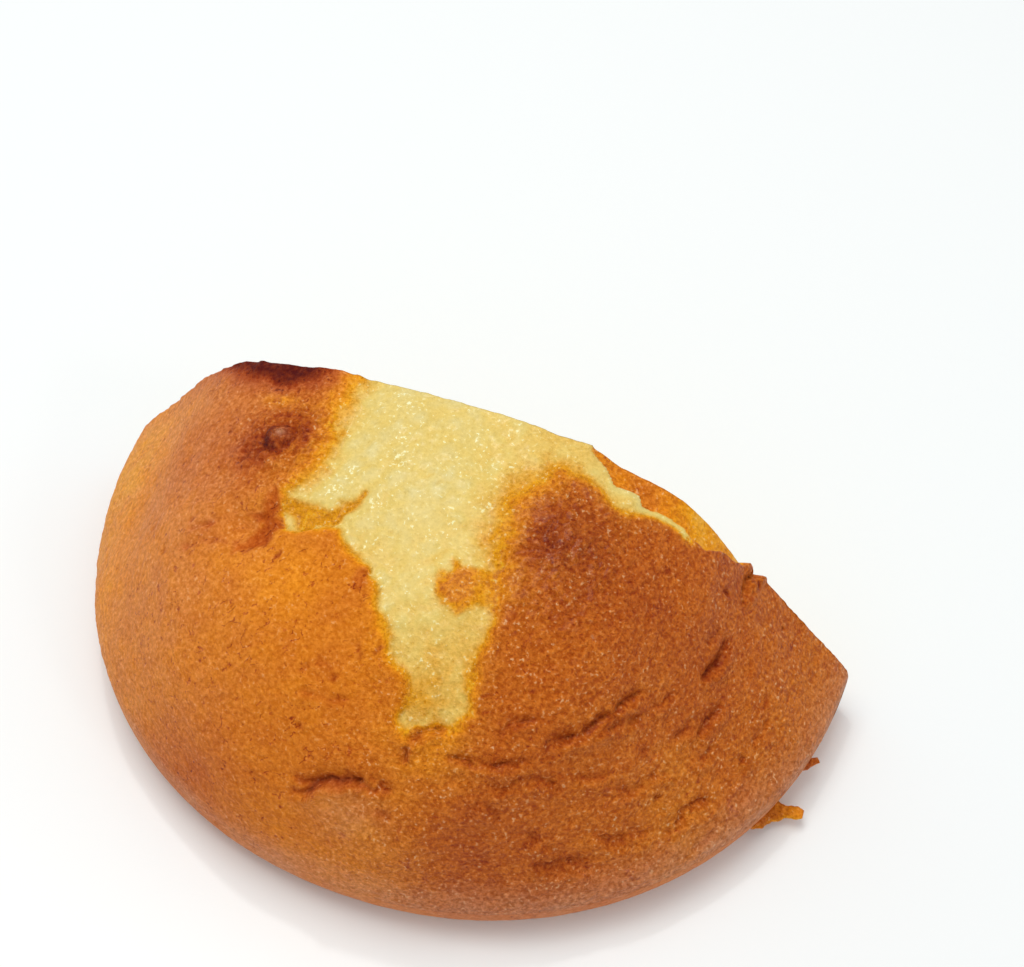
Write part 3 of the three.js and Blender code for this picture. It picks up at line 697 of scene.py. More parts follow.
def crust_loops():
    """Closed loops round the bun, one in the plane of each column: the underside from the cut
    outwards, the dome up to the crown line, the lip over the cut, and the pocket behind it. Gives
    them and their paint."""
    x = crowded_columns(COLUMNS, HALF, TIP_CROWDING)[:, None]
    dome, bake, wet, crease_shade, dust_and_sheen = dome_points(x, np.arange(DOME_ROWS + 1)[None, :] / DOME_ROWS)
    under, under_bake = under_points(x, bake[:, :1])
    top_rows, bottom_rows = lip_rows(dome[:, -1], under[:, 0])
    loops = np.concatenate([under, dome, top_rows, bottom_rows], axis=1)
    top_bake = np.broadcast_to(bake[:, -1:] * 0.75, top_rows.shape[:2])
    bottom_bake = np.broadcast_to(under_bake[:, :1] * 0.6 + 0.14, bottom_rows.shape[:2])
    none_under = np.zeros(under_bake.shape)
    none_lip = np.zeros((len(x), 2 * len(LIP)))
    rising = loops[..., 2:] * np.array([0, 0, 0.3])
    paint = {
        "bake": np.concatenate([under_bake, bake, top_bake, bottom_bake], axis=1),
        "wet": np.concatenate([none_under, wet, none_lip], axis=1),
        "crease_shade": np.concatenate([none_under, crease_shade, none_lip], axis=1),
        "dust_and_sheen": np.concatenate([none_under + dust_and_sheen[:, :1], dust_and_sheen, none_lip], axis=1),
        "round": (round_crown(loops[..., 0], loops[..., 1]) + rising) * MM,
    }
    return loops, paint


def looped_mesh(name, loops, ends, paint):
    """A closed mesh from loops (column, row, xyz): squares between neighbouring columns and rows,
    each loop closed round, and a fan from the last loop at each side to an end point. Paint holds
    one array of the loops' shape for each attribute."""
    columns, rows = loops.shape[:2]
    a = np.arange((columns - 1) * rows).reshape(columns - 1, rows)
    b = np.roll(a, -1, axis=1)
    squares = np.stack([a, a + rows, b + rows, b], axis=-1).reshape(-1, 4)
    row = np.arange(rows)
    following = np.roll(row, -1)
    last = (columns - 1) * rows
    left = np.stack([np.full(rows, columns * rows), row, following], axis=-1)
    right = np.stack([np.full(rows, columns * rows + 1), last + following, last + row], axis=-1)
    points = np.concatenate([loops.reshape(-1, 3), ends]) + CUT_FOOT
    corners = np.concatenate([squares.ravel(), left.ravel(), right.ravel()]).astype(np.int32)
    starts = np.concatenate([np.arange(len(squares)) * 4, len(squares) * 4 + np.arange(2 * rows) * 3])
    mesh = bpy.data.meshes.new(name)
    mesh.vertices.add(len(points))
    mesh.vertices.foreach_set("co", (points * MM).astype(np.float32).ravel())
    mesh.loops.add(len(corners))
    mesh.loops.foreach_set("vertex_index", corners)
    mesh.polygons.add(len(starts))
    mesh.polygons.foreach_set("loop_start", starts.astype(np.int32))
    mesh.update(calc_edges=True)
    mesh.shade_smooth()
    for label, values in paint.items():
        kind, field = ("FLOAT_VECTOR", "vector") if values.ndim == 3 else ("FLOAT", "value")
        at_ends = values[[0, -1]].mean(axis=1)
        flat = np.concatenate([values.reshape(-1, *values.shape[2:]), at_ends]).ravel()
        mesh.attributes.new(label, kind, "POINT").data.foreach_set(field, flat.astype(np.float32))
    piece = bpy.data.objects.new(name, mesh)
    bpy.context.scene.collection.objects.link(piece)
    return piece


def paint_colour(red, green, blue):
    """A colour given as it shows on a screen, 0 to 255, as the linear colour that a shader takes."""
    shown = np.array([red, green, blue]) / 255
    linear = np.where(shown <= 0.04045, shown / 12.92, ((shown + 0.055) / 1.055) ** 2.4)
    return (*linear, 1.0)


def fill_sockets(tree, node, sockets):
    """Gives input sockets of a node, by name or number, a value or a link each."""
    for key, value in dict(sockets).items():
        if isinstance(value, bpy.types.NodeSocket):
            tree.links.new(value, node.inputs[key])
        else:
            node.inputs[key].default_value = value


def place(tree, kind, sockets=(), **settings):
    """A new shader node with its settings and its input sockets filled."""
    node = tree.nodes.new("ShaderNode" + kind)
    for label, value in settings.items():
        setattr(node, label, value)
    fill_sockets(tree, node, sockets)
    return node


def painted(tree, label, kind="Fac"):
    """What the mesh holds under a label: a value, or a place where the kind is Vector."""
    return place(tree, "Attribute", attribute_name=label).outputs[kind]


def noise(tree, where, scale, detail, roughness=0.5, distortion=0, kind=0):
    """A Noise Texture at places in metres, its value or, where the kind is Color, its colour."""
    sockets = {"Vector": where, "Scale": scale, "Detail": detail, "Roughness": roughness}
    return place(tree, "TexNoise", sockets | {"Distortion": distortion}).outputs[kind]


def stretch(tree, value, low, high, start=0, end=1):
    """A Map Range node: start up to low, end from high on, and straight between them."""
    return place(tree, "MapRange", {"Value": value, 1: low, 2: high, 3: start, 4: end}).outputs[0]


def calculate(tree, operation, *values, clamp=False):
    """A Math node: the result of the operation on values or links."""
    return place(tree, "Math", dict(enumerate(values)), operation=operation, use_clamp=clamp).outputs[0]


def product(tree, first, *others):
    """Math nodes for the product of all the values or links."""
    for other in others:
        first = calculate(tree, "MULTIPLY", first, other)
    return first


def weighed(tree, start, *terms):
    """Math nodes for the start plus, for each term, its value times its weight."""
    for value, weight in terms:
        start = calculate(tree, "MULTIPLY_ADD", value, weight, start)
    return start


def blend_colour(tree, share, first, second, mode="MIX", clamp=True):
    """A Mix node between two colours. Its share is kept from 0 to 1 unless clamp is off."""
    sockets = {"Factor": share, 6: first, 7: second}
    kept = {"data_type": "RGBA", "blend_type": mode, "clamp_factor": clamp, "clamp_result": True}
    return place(tree, "Mix", sockets, **kept).outputs[2]


def colour_ramp(tree, share, colours):
    """A Color Ramp node along a share from 0 to 1, through colours at their places."""
    node = place(tree, "ValToRGB", {0: share})
    stops = node.color_ramp.elements
    for i, (at, colour) in enumerate(colours):
        stop = stops[i] if i < 2 else stops.new(at)
        stop.position = at
        stop.color = paint_colour(*colour)
    return node.outputs[0]


def new_group(name, inputs, outputs):
    """An empty node group with inputs at their defaults, numbers or vectors, and outputs of the
    given kinds. Gives the group, its input node and its output node."""
    group = bpy.data.node_groups.new(name, "ShaderNodeTree")
    for label, value in inputs.items():
        kind = "NodeSocketVector" if isinstance(value, tuple) else "NodeSocketFloat"
        group.interface.new_socket(label, in_out="INPUT", socket_type=kind).default_value = value
    for label, kind in outputs.items():
        group.interface.new_socket(label, in_out="OUTPUT", socket_type="NodeSocket" + kind)
    return group, group.nodes.new("NodeGroupInput"), group.nodes.new("NodeGroupOutput")


# Colours of sweet dough from pale cream to nearly burnt, by how brown it is
BAKE_COLOURS = [
    (0.00, (227, 208, 138)),
    (0.10, (229, 199, 108)),
    (0.20, (235, 189, 86)),
    (0.32, (238, 158, 6)),
    (0.44, (232, 136, 9)),
    (0.56, (211, 114, 20)),
    (0.68, (194, 92, 12)),
    (0.80, (171, 68, 6)),
    (0.90, (134, 43, 2)),
    (1.00, (94, 16, 0)),
]
# Painted shade: the colour in creases is multiplied towards this dark red-brown
CREASE_SHADE_COLOUR = (168, 92, 60)  # what a crease multiplies the dough's colour by


def bake_colour_group():
    """Node group: how brown in, the dough's colour out, darkened and reddened by painted shade in creases.
    """
    group, given, result = new_group("bake colour", {"Bake": 0.5, "Crease shade": 0}, {"Color": "Color"})
    crease_shade = given.outputs["Crease shade"]
    dough = colour_ramp(group, given.outputs["Bake"], BAKE_COLOURS)
    shade = calculate(group, "MULTIPLY", crease_shade, weighed(group, 0.3, (crease_shade, 0.35)), clamp=True)
    dark = blend_colour(group, shade, dough, paint_colour(*CREASE_SHADE_COLOUR), "MULTIPLY")
    fill_sockets(group, result, {"Color": dark})
    return group


# Floor of the grain's painted shade
DARKEST_PAINTED_SHADE = -0.11  # no spot of the grain is darker than this


def oven_grain_group():
    """Node group for the fine skin of baked dough, from a slow noise and two fine ones. Gives how
    brown it is in clouds and small pits, its height, its painted light and shade, how much lighter
    or darker than 0 each spot is, and painted highlights, the flecks of light on its tops, which lie
    in clusters and thickest where there is dew."""
    inputs = {"Bake": 0.5, "Mottle": 0.1, "Contrast": 1, "Dew": 0}
    outputs = {"Bake": "Float", "Height": "Float", "Shade": "Float", "Flecks": "Float"}
    group, given, result = new_group("oven grain", inputs, outputs)
    dew = given.outputs["Dew"]
    where = place(group, "TexCoord").outputs["Object"]
    slow = noise(group, where, 420, 4, 0.6)
    crumbs = noise(group, where, 1500, 5, 0.75)
    speck = noise(group, where, 2200, 3, distortion=0.2)
    tops = stretch(group, weighed(group, speck, (dew, 0.06)), 0.61, 0.69)
    clusters = calculate(group, "MAXIMUM", stretch(group, slow, 0.45, 0.6, 0.2, 1), dew)
    pits = stretch(group, speck, 0.37, 0.27)
    browner = weighed(group, -0.75, (slow, 0.8), (crumbs, 0.7), (pits, 0.45))
    lighter = weighed(group, -1, (crumbs, 1.3), (speck, 0.8))
    lighter = calculate(group, "MAXIMUM", lighter, DARKEST_PAINTED_SHADE)
    given_out = {
        "Bake": weighed(group, given.outputs["Bake"], (browner, given.outputs["Mottle"])),
        "Height": weighed(group, 0, (crumbs, 1.5), (speck, 0.8), (pits, -0.15)),
        "Shade": product(group, lighter, given.outputs["Contrast"]),
        "Flecks": product(group, tops, clusters),
    }
    fill_sockets(group, result, given_out)
    return group


def skin_cracks_group():
    """Node group: from places along and across the grain, wavy hair cracks where a noise passes
    its middle value, in patches, and short strokes at scattered points. 0 to 1 at their middle."""
    group, given, result = new_group("skin cracks", {"Place": (0, 0, 0)}, {"Cracks": "Float"})
    where = given.outputs["Place"]
    wander = noise(group, where, 900, 2, kind="Color")
    bent = place(group, "VectorMath", {0: wander, "Scale": 0.0009}, operation="SCALE").outputs[0]
    around = place(group, "VectorMath", {0: where, 1: bent}, operation="ADD").outputs[0]
    stretched = place(group, "VectorMath", {0: around, 1: (0.36, 1, 1)}, operation="MULTIPLY").outputs[0]
    off_middle = calculate(group, "SUBTRACT", noise(group, stretched, 640, 2), 0.5)
    line = stretch(group, calculate(group, "ABSOLUTE", off_middle), 0, 0.026, 1, 0)
    shown = stretch(group, noise(group, where, 480, 4, 0.85), 0.53, 0.6, 0, 0.9)
    cells = place(group, "TexVoronoi", {"Vector": stretched, "Scale": 520, "Randomness": 1})
    chance = place(group, "SeparateColor", {0: cells.outputs["Color"]}).outputs[0]
    stroke = stretch(group, cells.outputs["Distance"], 0.04, 0.14, 1, 0)
    strokes = product(group, stroke, stretch(group, chance, 0.4, 0.75))
    cracks = calculate(group, "MAXIMUM", product(group, line, shown), strokes)
    fill_sockets(group, result, {"Cracks": cracks})
    return group


BAKE_COLOUR = bake_colour_group()
OVEN_GRAIN = oven_grain_group()
SKIN_CRACKS = skin_cracks_group()


def new_material(name):
    """An empty material. Gives it, its node tree and its Principled shader."""
    material = bpy.data.materials.new(name)
    material.use_nodes = True
    return material, material.node_tree, material.node_tree.nodes["Principled BSDF"]


GRAIN_TURN = (0, 0, math.radians(-55))  # turns the lean of the grain on the left flank to x
# Dust with painted sheen, bounce light and highlight is mixed towards this pale pink
DUST_AND_SHEEN_COLOUR = (206, 146, 108)
# Painted highlights of the flecks, on moist dough and on dry skin
MOIST_SPARK = (1, 1, 0.5, 1)  # the flecks of light, as linear colours
DRY_SPARK = (0.56, 0.37, 0.22, 1)
SHEEN_COLOUR = (255, 225, 205)


def baked_crust():
    """Matte brown skin with grain and its painted light and shade, dust with painted sheen, and hair
    cracks along the grain, which lies straight on the left flank and round the crown on the right.
    It goes over into moist glossy dough where it is wet, with painted highlights in flecks. Wet above
    1 stands for dew, drops whose shine is painted as clusters of flecks."""
    material, tree, shader = new_material("baked_crust")
    bake, wetness, crease_shade, dust_and_sheen = (painted(tree, label) for label in ("bake", "wet", "crease_shade", "dust_and_sheen"))
    dew = stretch(tree, wetness, 1, 1.35)
    wet = calculate(tree, "MINIMUM", wetness, 1)
    where = place(tree, "TexCoord").outputs["Object"]
    straight = place(tree, "Mapping", {"Vector": where, "Rotation": GRAIN_TURN}).outputs[0]
    left = place(tree, "Group", {"Place": straight}, node_tree=SKIN_CRACKS).outputs[0]
    curved = painted(tree, "round", "Vector")
    right = place(tree, "Group", {"Place": curved}, node_tree=SKIN_CRACKS).outputs[0]
    across = place(tree, "SeparateXYZ", {0: where}).outputs[0]
    share = stretch(tree, across, -0.006, 0.01)
    cracks = place(tree, "Mix", {"Factor": share, 2: left, 3: right}).outputs[0]
    cracks = product(tree, cracks, calculate(tree, "SUBTRACT", 1, wet))
    bake = weighed(tree, bake, (cracks, 0.38), (crease_shade, 0.2))
    strength = stretch(tree, bake, 0.12, 0.4, 0.24, 1)
    moist = product(tree, weighed(tree, 1, (wet, -0.6)), wet)
    grain = {
        "Bake": bake,
        "Mottle": stretch(tree, bake, 0.15, 0.5, 0.06, 0.1),
        "Contrast": product(tree, weighed(tree, 0.62, (moist, 1.7)), strength),
        "Dew": dew,
    }
    skin = place(tree, "Group", grain, node_tree=OVEN_GRAIN).outputs
    dough = {"Bake": skin["Bake"], "Crease shade": crease_shade}
    colour = place(tree, "Group", dough, node_tree=BAKE_COLOUR).outputs[0]
    dusted_and_sheened = blend_colour(tree, product(tree, dust_and_sheen, 0.5), colour, paint_colour(*DUST_AND_SHEEN_COLOUR))
    lighter = place(tree, "Gamma", {0: dusted_and_sheened, 1: 0.583}).outputs[0]
    # The grain's painted light and shade is added to the colour, alike in each channel on screen
    shaded = blend_colour(tree, skin["Shade"], dusted_and_sheened, lighter, "ADD", False)
    # Painted highlights: the flecks are screened over the colour in the spark colour, less on dark skin
    dim = stretch(tree, bake, 0.65, 0.9, 1, 0.08)
    glint = product(tree, skin["Flecks"], weighed(tree, 0.1, (moist, 2.2)), dim)
    spark = blend_colour(tree, strength, MOIST_SPARK, DRY_SPARK)
    roughness = weighed(tree, 0.6, (wet, -0.4), (skin["Flecks"], -0.2))
    relief = product(tree, weighed(tree, 0.5, (wet, 1.5)), strength)
    height = product(tree, skin["Height"], calculate(tree, "ADD", relief, 0.15))
    height = weighed(tree, height, (cracks, -0.4))
    bump = place(tree, "Bump", {"Strength": 1, "Distance": 0.00022, "Height": height})
    finish = {
        "Base Color": blend_colour(tree, glint, shaded, spark, "SCREEN"),
        "Roughness": calculate(tree, "MAXIMUM", roughness, 0.13),
        "Normal": bump.outputs[0],
        "Coat Weight": product(tree, wet, wet, 0.22),
        "Coat Roughness": 0.2,
        "Specular IOR Level": 0.12,
        "Sheen Weight": 0.02,
        "Sheen Roughness": 0.5,
        "Sheen Tint": paint_colour(*SHEEN_COLOUR),
    }
    fill_sockets(tree, shader, finish)
    return material


crust_points, crust_paint = crust_loops()
crust_ends = np.array([[-HALF, -0.2, EDGE_HEIGHT], [HALF, -0.2, EDGE_HEIGHT]])
crust = looped_mesh("crust", crust_points, crust_ends, crust_paint)
BAKED_CRUST = baked_crust()
crust.data.materials.append(BAKED_CRUST)
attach(crust, "root")
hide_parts("bun_half")

# Open crumb
# The cut face: soft pale crumb full of bubbles of all sizes, torn a little by the cut, with a band
# of browned dough just inside the crust and a thick smooth skin under the pale split. It is a plug
# that fills the pocket of the crust, and its rim runs in under the crust's lip.
CRUMB_COLUMNS = 548
CRUMB_ROWS = 168
CRUMB_END = 48.7  # the crumb ends this far to each side
CRUMB_RIM = 0.5  # its rim lies this far inside the outline, under the lip of the crust
CRUMB_CROWDING = 0.6  # of its columns at both ends
CRUMB_DEEP = 6.4  # how far back it reaches into the pocket
CRUMB_WALL = 0.6  # at least so much crumb is left behind the deepest hollow
CRUMB_TAPER = 3.6  # its back is smaller by this much all round
SKIN_COLUMNS = 29  # the smooth skin follows the crown line evened out over so many columns
DARKEST_DEPTH = 4  # crumb this deep has the last of its colours

# Large hollows: x, z, half length, half width, turn in degrees and depth
HOLLOWS = [
    (-34.2, 22.6, 4.9, 1.4, 46, 3.4), (-14, 20.7, 2.3, 2.3, 0, 4.2), (-17.2, 19.6, 1.9, 1.1, 15, 2.2),
    (-10.6, 22.2, 1.8, 1.7, 0, 1.6), (-6.5, 20.1, 1.8, 1.2, 0, 2), (-23.7, 29, 2, 1.5, 80, 2.6),
    (-23.3, 24.2, 1.9, 1.2, 0, 2), (-36.1, 14.5, 2.2, 1.5, 90, 2.2), (-29.2, 9.7, 1.4, 1.2, 0, 1.8),
    (-20.3, 11, 2.4, 1, -28, 2), (-15.5, 6.5, 1.6, 1.1, 0, 1.6), (2.3, 27.8, 1.8, 1.3, 80, 3.2),
    (-3, 26, 2.3, 1.5, 20, 1.7), (7.7, 25.3, 1.4, 1.3, 0, 1.9), (6.2, 19.6, 4, 1.8, 94, 2),
    (9.3, 31, 1.8, 1.1, 0, 1.8), (15.2, 32.6, 2.3, 0.9, -36, 1.6), (-8, 33.8, 2.2, 1.2, 0, 1.5),
    (16.3, 25.5, 1.6, 1.4, 0, 1.2), (19.7, 12.8, 3.2, 2.4, 0, 3), (28.3, 19, 1.6, 1.2, 90, 1.6),
    (42.7, 6.2, 1.8, 1.3, 10, 1.8), (7.6, 4.9, 3, 1.2, 20, 2.8),
    (4.7, 35.3, 2.6, 0.7, 5, 0.9), (-2.7, 33.7, 0.9, 0.7, 0, 1.4), (-9, 31.3, 1, 0.8, 60, 1.4),
    (11.8, 29.5, 1, 0.7, 0, 1.5), (5.9, 15.3, 0.8, 0.9, 0, 1.5), (12.7, 21.3, 2.2, 0.8, 10, 1),
    (-8, 4.7, 1.8, 0.7, 5, 1.4), (2.3, 11.3, 1.3, 0.8, 20, 1.5), (39.7, 16.3, 0.6, 0.9, 0, 1.2),
    (-23.7, 6.1, 1, 0.7, 0, 1.3), (25.3, 24, 0.7, 0.6, 0, 1.2),
]

# Bubbles between them: size of their cubes, depth, power of their chance, the higher the fewer are
# deep, and seed
BUBBLES = [(3.1, 1.7, 3.2, 211), (1.55, 0.9, 2.0, 215), (0.85, 0.42, 1.2, 219)]


def band_width(x, upper):
    """Thickness of the browned band inside the crust: thin over the skin under the split and
    thicker down both slopes by a bell each, and along the base for the lower edge."""
    if not upper:
        return 1.3 + 0.5 * bell(x + 38, 10) + 0.3 * np.sin(x * 0.7)
    slopes = 2.2 + 1.1 * bell(x + 33, 5) + bell(x - 36, 12)
    return slopes * (1 - 0.93 * ramp(x, -29, -25) * ramp(16.5 - x, 0, 2.5))


def skin_width(x):
    """Thickness of the smooth skin without pores under the pale split: it sets in and ends in
    ramps, and is thickest at the right by a bell."""
    over = ramp(x, -28, -20) * ramp(31 - x, 0, 7)
    return over * (3.2 + 2.6 * bell(x - 17, 12))


def crumb_depth(points, upper, lower):
    """Depth of the crumb behind the cut, and where its smooth skin is. The large hollows have
    wandering rims and steep walls, e^-(distance^6) of their own ovals. Bubbles of three sizes are
    each as deep as their own chance says, with torn fibres between, and are filled in towards the
    skin and the edges."""
    x, z = points[..., 0], points[..., 2]
    warp_x = 0.55 * cloud(points, 1.8, 201, 2)
    warp_z = 0.55 * cloud(points, 1.8, 203, 2)
    hollow = 0
    for at_x, at_z, long, wide, turn, deep in HOLLOWS:
        c, s = math.cos(math.radians(turn)), math.sin(math.radians(turn))
        along = (x + warp_x - at_x) * c + (z + warp_z - at_z) * s
        over = (z + warp_z - at_z) * c - (x + warp_x - at_x) * s
        hollow = np.maximum(hollow, deep * np.exp(-(((along / long) ** 2 + (over / wide) ** 2) ** 3)))
    flat = points * np.array([1, 0, 1]) + np.stack([warp_x, 0 * x, warp_z], axis=-1) * 0.5
    depth = 0
    for size, deep, power, seed in BUBBLES:
        near, following, chance = bubbles(flat * np.array([1, 1, 1.2]), size, seed)
        depth = depth + deep * chance**power * ramp(following - near, 0.03, 0.5)
    fibres = 0.2 * cloud(points, 0.9, 223, 2) + 0.35 * cloud(points, 4, 225, 2)
    skin = ramp(skin_width(x) + 0.8 * cloud(points, 2.5, 227, 2) - upper, -0.5, 0.9)
    edge = 1 - ramp(np.minimum(upper, lower) - 0.5, 0, 1.4)
    open_share = np.clip(1 - skin - edge, 0, 1)
    smooth_patch = oval(x, z, -11, 14, 4.5, 2.5) + oval(x, z, 12, 22.5, 3.5, 2)
    small = (depth * (1 - 0.7 * smooth_patch) + fibres) * (0.12 + 0.88 * open_share)
    return hollow * (1 - edge) + np.maximum(small, -0.02), skin


def crumb_loops(crown, foot):
    """Loops round the crumb plug: the cut face from under the lip at the crown down to the base,
    then the back of the plug, a little smaller all round. Crown and foot are the crust's edges of
    the cut. Distances from them are measured square to the edge: the height over its steepness."""
    along = crowded_columns(CRUMB_COLUMNS, CRUMB_END, CRUMB_CROWDING)
    steep_top = steepness(dome_height, along)[:, None]
    steep_foot = steepness(under_height, along)[:, None]
    high = np.interp(along, crown[:, 0], crown[:, 2])
    padded = np.pad(high, SKIN_COLUMNS // 2, "edge")
    even_high = np.convolve(padded, np.full(SKIN_COLUMNS, 1 / SKIN_COLUMNS), "valid")[:, None]
    x, high = along[:, None], high[:, None]
    low = np.interp(along, foot[:, 0], foot[:, 2])[:, None]
    tall = high - low
    top = high - np.minimum(CRUMB_RIM * steep_top, 0.3 * tall)
    bottom = low + np.minimum(CRUMB_RIM * steep_foot, 0.3 * tall)
    z = top + (bottom - top) * np.linspace(0, 1, CRUMB_ROWS)[None, :]
    face = np.stack(np.broadcast_arrays(x, 0 * z, z), axis=-1)
    to_tip = HALF - np.abs(x)
    upper = np.minimum((high - z) / steep_top, to_tip)
    under_skin = np.minimum((even_high - z) / steep_top, to_tip)
    lower = (z - low) / steep_foot
    depth, skin = crumb_depth(face, under_skin, lower)
    ends = ramp(CRUMB_END - np.abs(x), 0, 1.5)
    rim = ramp(np.minimum(upper, lower) - 0.45, 0, 0.5)
    behind = 0.12 + 0.25 * (1 - rim) + 0.4 * (1 - ends) + 0.7 * depth * rim * ends
    face[..., 1] = -np.minimum(behind, CRUMB_DEEP - CRUMB_WALL)
    ragged = 0.5 * cloud(face, 1.3, 231, 2)
    over = np.minimum(under_skin, upper + 0.6) + ragged
    band_top = 1 - ramp(over / band_width(x, True), 0.45, 1.25)
    band_foot = 1 - ramp((lower + ragged) / band_width(x, False), 0.45, 1.25)
    back = np.minimum(CRUMB_DEEP, 0.5 + CRUMB_DEEP * ramp(to_tip, 1.5, 6))
    back_foot = low + np.minimum(CRUMB_TAPER * steep_foot, 0.4 * tall)
    back_top = high - np.minimum(CRUMB_TAPER * steep_top, 0.4 * tall)
    back_rows = [np.stack([x, -back, height], axis=-1) for height in (back_foot, back_top)]
    shown = {
        "band": np.maximum(band_top, band_foot),
        "pore_shade": np.clip(depth * rim, 0, DARKEST_DEPTH) / DARKEST_DEPTH,
        "skin": skin,
    }
    hidden = np.zeros((len(x), len(back_rows)))
    paint = {label: np.concatenate([values, hidden], axis=1) for label, values in shown.items()}
    return np.concatenate([face, *back_rows], axis=1), paint


# Colours of the crumb by depth, painted shade and scattered light in the bubbles: the deeper, the
# more the light that comes out is yellow
CRUMB_COLOURS = [
    (0.00, (254, 241, 206)),
    (0.10, (251, 230, 170)),
    (0.25, (242, 210, 122)),
    (0.45, (236, 184, 70)),
    (0.75, (226, 150, 32)),
    (1.00, (208, 122, 18)),
]
CRUMB_TONE = (250, 228, 168)  # slow clouds multiply the crumb's colour by this
SKIN_COLOUR = (241, 211, 124)


def open_crumb():
    """Soft matte crumb, cream on the high walls and painted amber shade deep in the bubbles, with a
    smooth yellowish skin under the split and the browned band, each by its own mask."""
    material, tree, shader = new_material("open_crumb")
    band, pore_shade, skin = (painted(tree, label) for label in ("band", "pore_shade", "skin"))
    where = place(tree, "TexCoord").outputs["Object"]
    tone = stretch(tree, noise(tree, where, 160, 4, 0.6), 0.35, 0.7, 0, 0.5)
    colour = colour_ramp(tree, pore_shade, CRUMB_COLOURS)
    colour = blend_colour(tree, tone, colour, paint_colour(*CRUMB_TONE), "MULTIPLY")
    colour = blend_colour(tree, product(tree, skin, 0.85), colour, paint_colour(*SKIN_COLOUR))
    grain = {"Bake": weighed(tree, 0.02, (band, 0.62)), "Mottle": 0.25}
    bake = place(tree, "Group", grain, node_tree=OVEN_GRAIN).outputs["Bake"]
    baked = place(tree, "Group", {"Bake": bake}, node_tree=BAKE_COLOUR).outputs[0]
    fine = noise(tree, where, 1500, 5, 0.75)
    bump = place(tree, "Bump", {"Strength": 1, "Distance": 0.0003, "Height": fine})
    finish = {
        "Base Color": blend_colour(tree, stretch(tree, band, 0.02, 0.3), colour, baked),
        "Normal": bump.outputs[0],
        "Roughness": 0.75,
        "Specular IOR Level": 0.3,
        "Subsurface Weight": 0.15,
        "Subsurface Radius": (0.0014, 0.0009, 0.0004),
        "Subsurface Scale": 1,
    }
    fill_sockets(tree, shader, finish)
    return material


crown_line, foot_line = crust_points[:, UNDER_ROWS + DOME_ROWS], crust_points[:, 0]
crumb_points, crumb_paint = crumb_loops(crown_line, foot_line)
crumb_ends = np.array([[side * (CRUMB_END + 0.1), -0.6, EDGE_HEIGHT] for side in (-1, 1)])
crumb = looped_mesh("crumb", crumb_points, crumb_ends, crumb_paint)
crumb.data.materials.append(open_crumb())
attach(crumb, "root")
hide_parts("bun_half")

# Torn scraps
# Two scraps of base crust that tore loose in the cutting and still hang on at the right of the
# rolled edge: an amber tongue of soft dough, browned at its root, and a small dark sliver.
SCRAP_STEPS = 46  # along a scrap
SCRAP_AROUND = 28  # round it


def even_values(values):
    """Values spread evenly along a scrap, read at its steps: straight between neighbours."""
    along = np.linspace(0, 1, SCRAP_STEPS)
    return np.interp(along, np.linspace(0, 1, len(values)), values)[:, None]


def scrap(name, spine, widths, thicks, bakes, wavy, seed):
    """A torn flat scrap: a flattened round section carried along a line, half width times a
    squared-off cosine to the side and half thickness times the sine upwards. Both go from value to
    value along the line, and its rim and its height wander by noise."""
    middle = np.concatenate([even_values(axis) for axis in zip(*spine)], axis=1)
    side = unit(np.cross(unit(np.gradient(middle, axis=0)), [0, 0, 1]))
    angle = np.arange(SCRAP_AROUND) / SCRAP_AROUND * 2 * np.pi
    square = np.abs(np.cos(angle)) ** 0.7 * np.sign(np.cos(angle))
    across = even_values(widths) * square
    even_ring = middle[:, None] + side[:, None] * across[..., None]
    ragged = 1 + 0.35 * cloud(even_ring, 1.1, seed, 3)
    ring = middle[:, None] + side[:, None] * (across * ragged)[..., None]
    up = even_values(thicks) * np.sin(angle) * (1 + 0.4 * cloud(ring, 0.9, seed + 3, 2))
    up = up + wavy * cloud(ring, 2.2, seed + 6)
    ring = ring + np.array([0, 0, 1]) * up[..., None]
    bake = even_values(bakes) + 0.08 * cloud(ring, 0.8, seed + 9, 2)
    bake = bake - 0.12 * ramp(np.abs(square), 0.8, 1)
    still = np.zeros(bake.shape)
    paint = {"bake": bake, "wet": still + 0.5, "crease_shade": still, "dust_and_sheen": still, "round": ring * MM}
    return looped_mesh(name, ring, middle[[0, -1]], paint)


tongue = scrap(
    "torn_tongue",
    spine=[(43.5, -19.5, 2.2), (45.2, -19, 2), (47, -18.6, 1.7), (48.6, -18.2, 1.8), (49.9, -18.1, 2)],
    widths=[2.9, 2.9, 1.6, 0.8, 1.0, 0.5],
    thicks=[0.7, 0.6, 0.5, 0.4, 0.25],
    bakes=[0.7, 0.62, 0.52, 0.44, 0.48],
    wavy=0.25,
    seed=301,
)
sliver = scrap(
    "torn_sliver",
    spine=[(46.3, -13.2, 4.5), (48, -12.6, 4.3), (49.6, -11.2, 4.1)],
    widths=[0.9, 1, 0.7, 0.4],
    thicks=[0.5, 0.45, 0.25],
    bakes=[0.72, 0.8, 0.66],
    wavy=0.2,
    seed=321,
)
for torn in (tongue, sliver):
    torn.data.materials.append(BAKED_CRUST)
    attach(torn, "root")
    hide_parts("bun_half")

# Floor, light and camera
# A plain near-white table under a large soft window light from the upper left, with the room's own
# pale light all round. The camera looks steeply down at the crown, as over a table.
FLOOR_SIZE = 3.0  # metres
FLOOR_CORNERS = [(-1, -1), (1, -1), (1, 1), (-1, 1)]


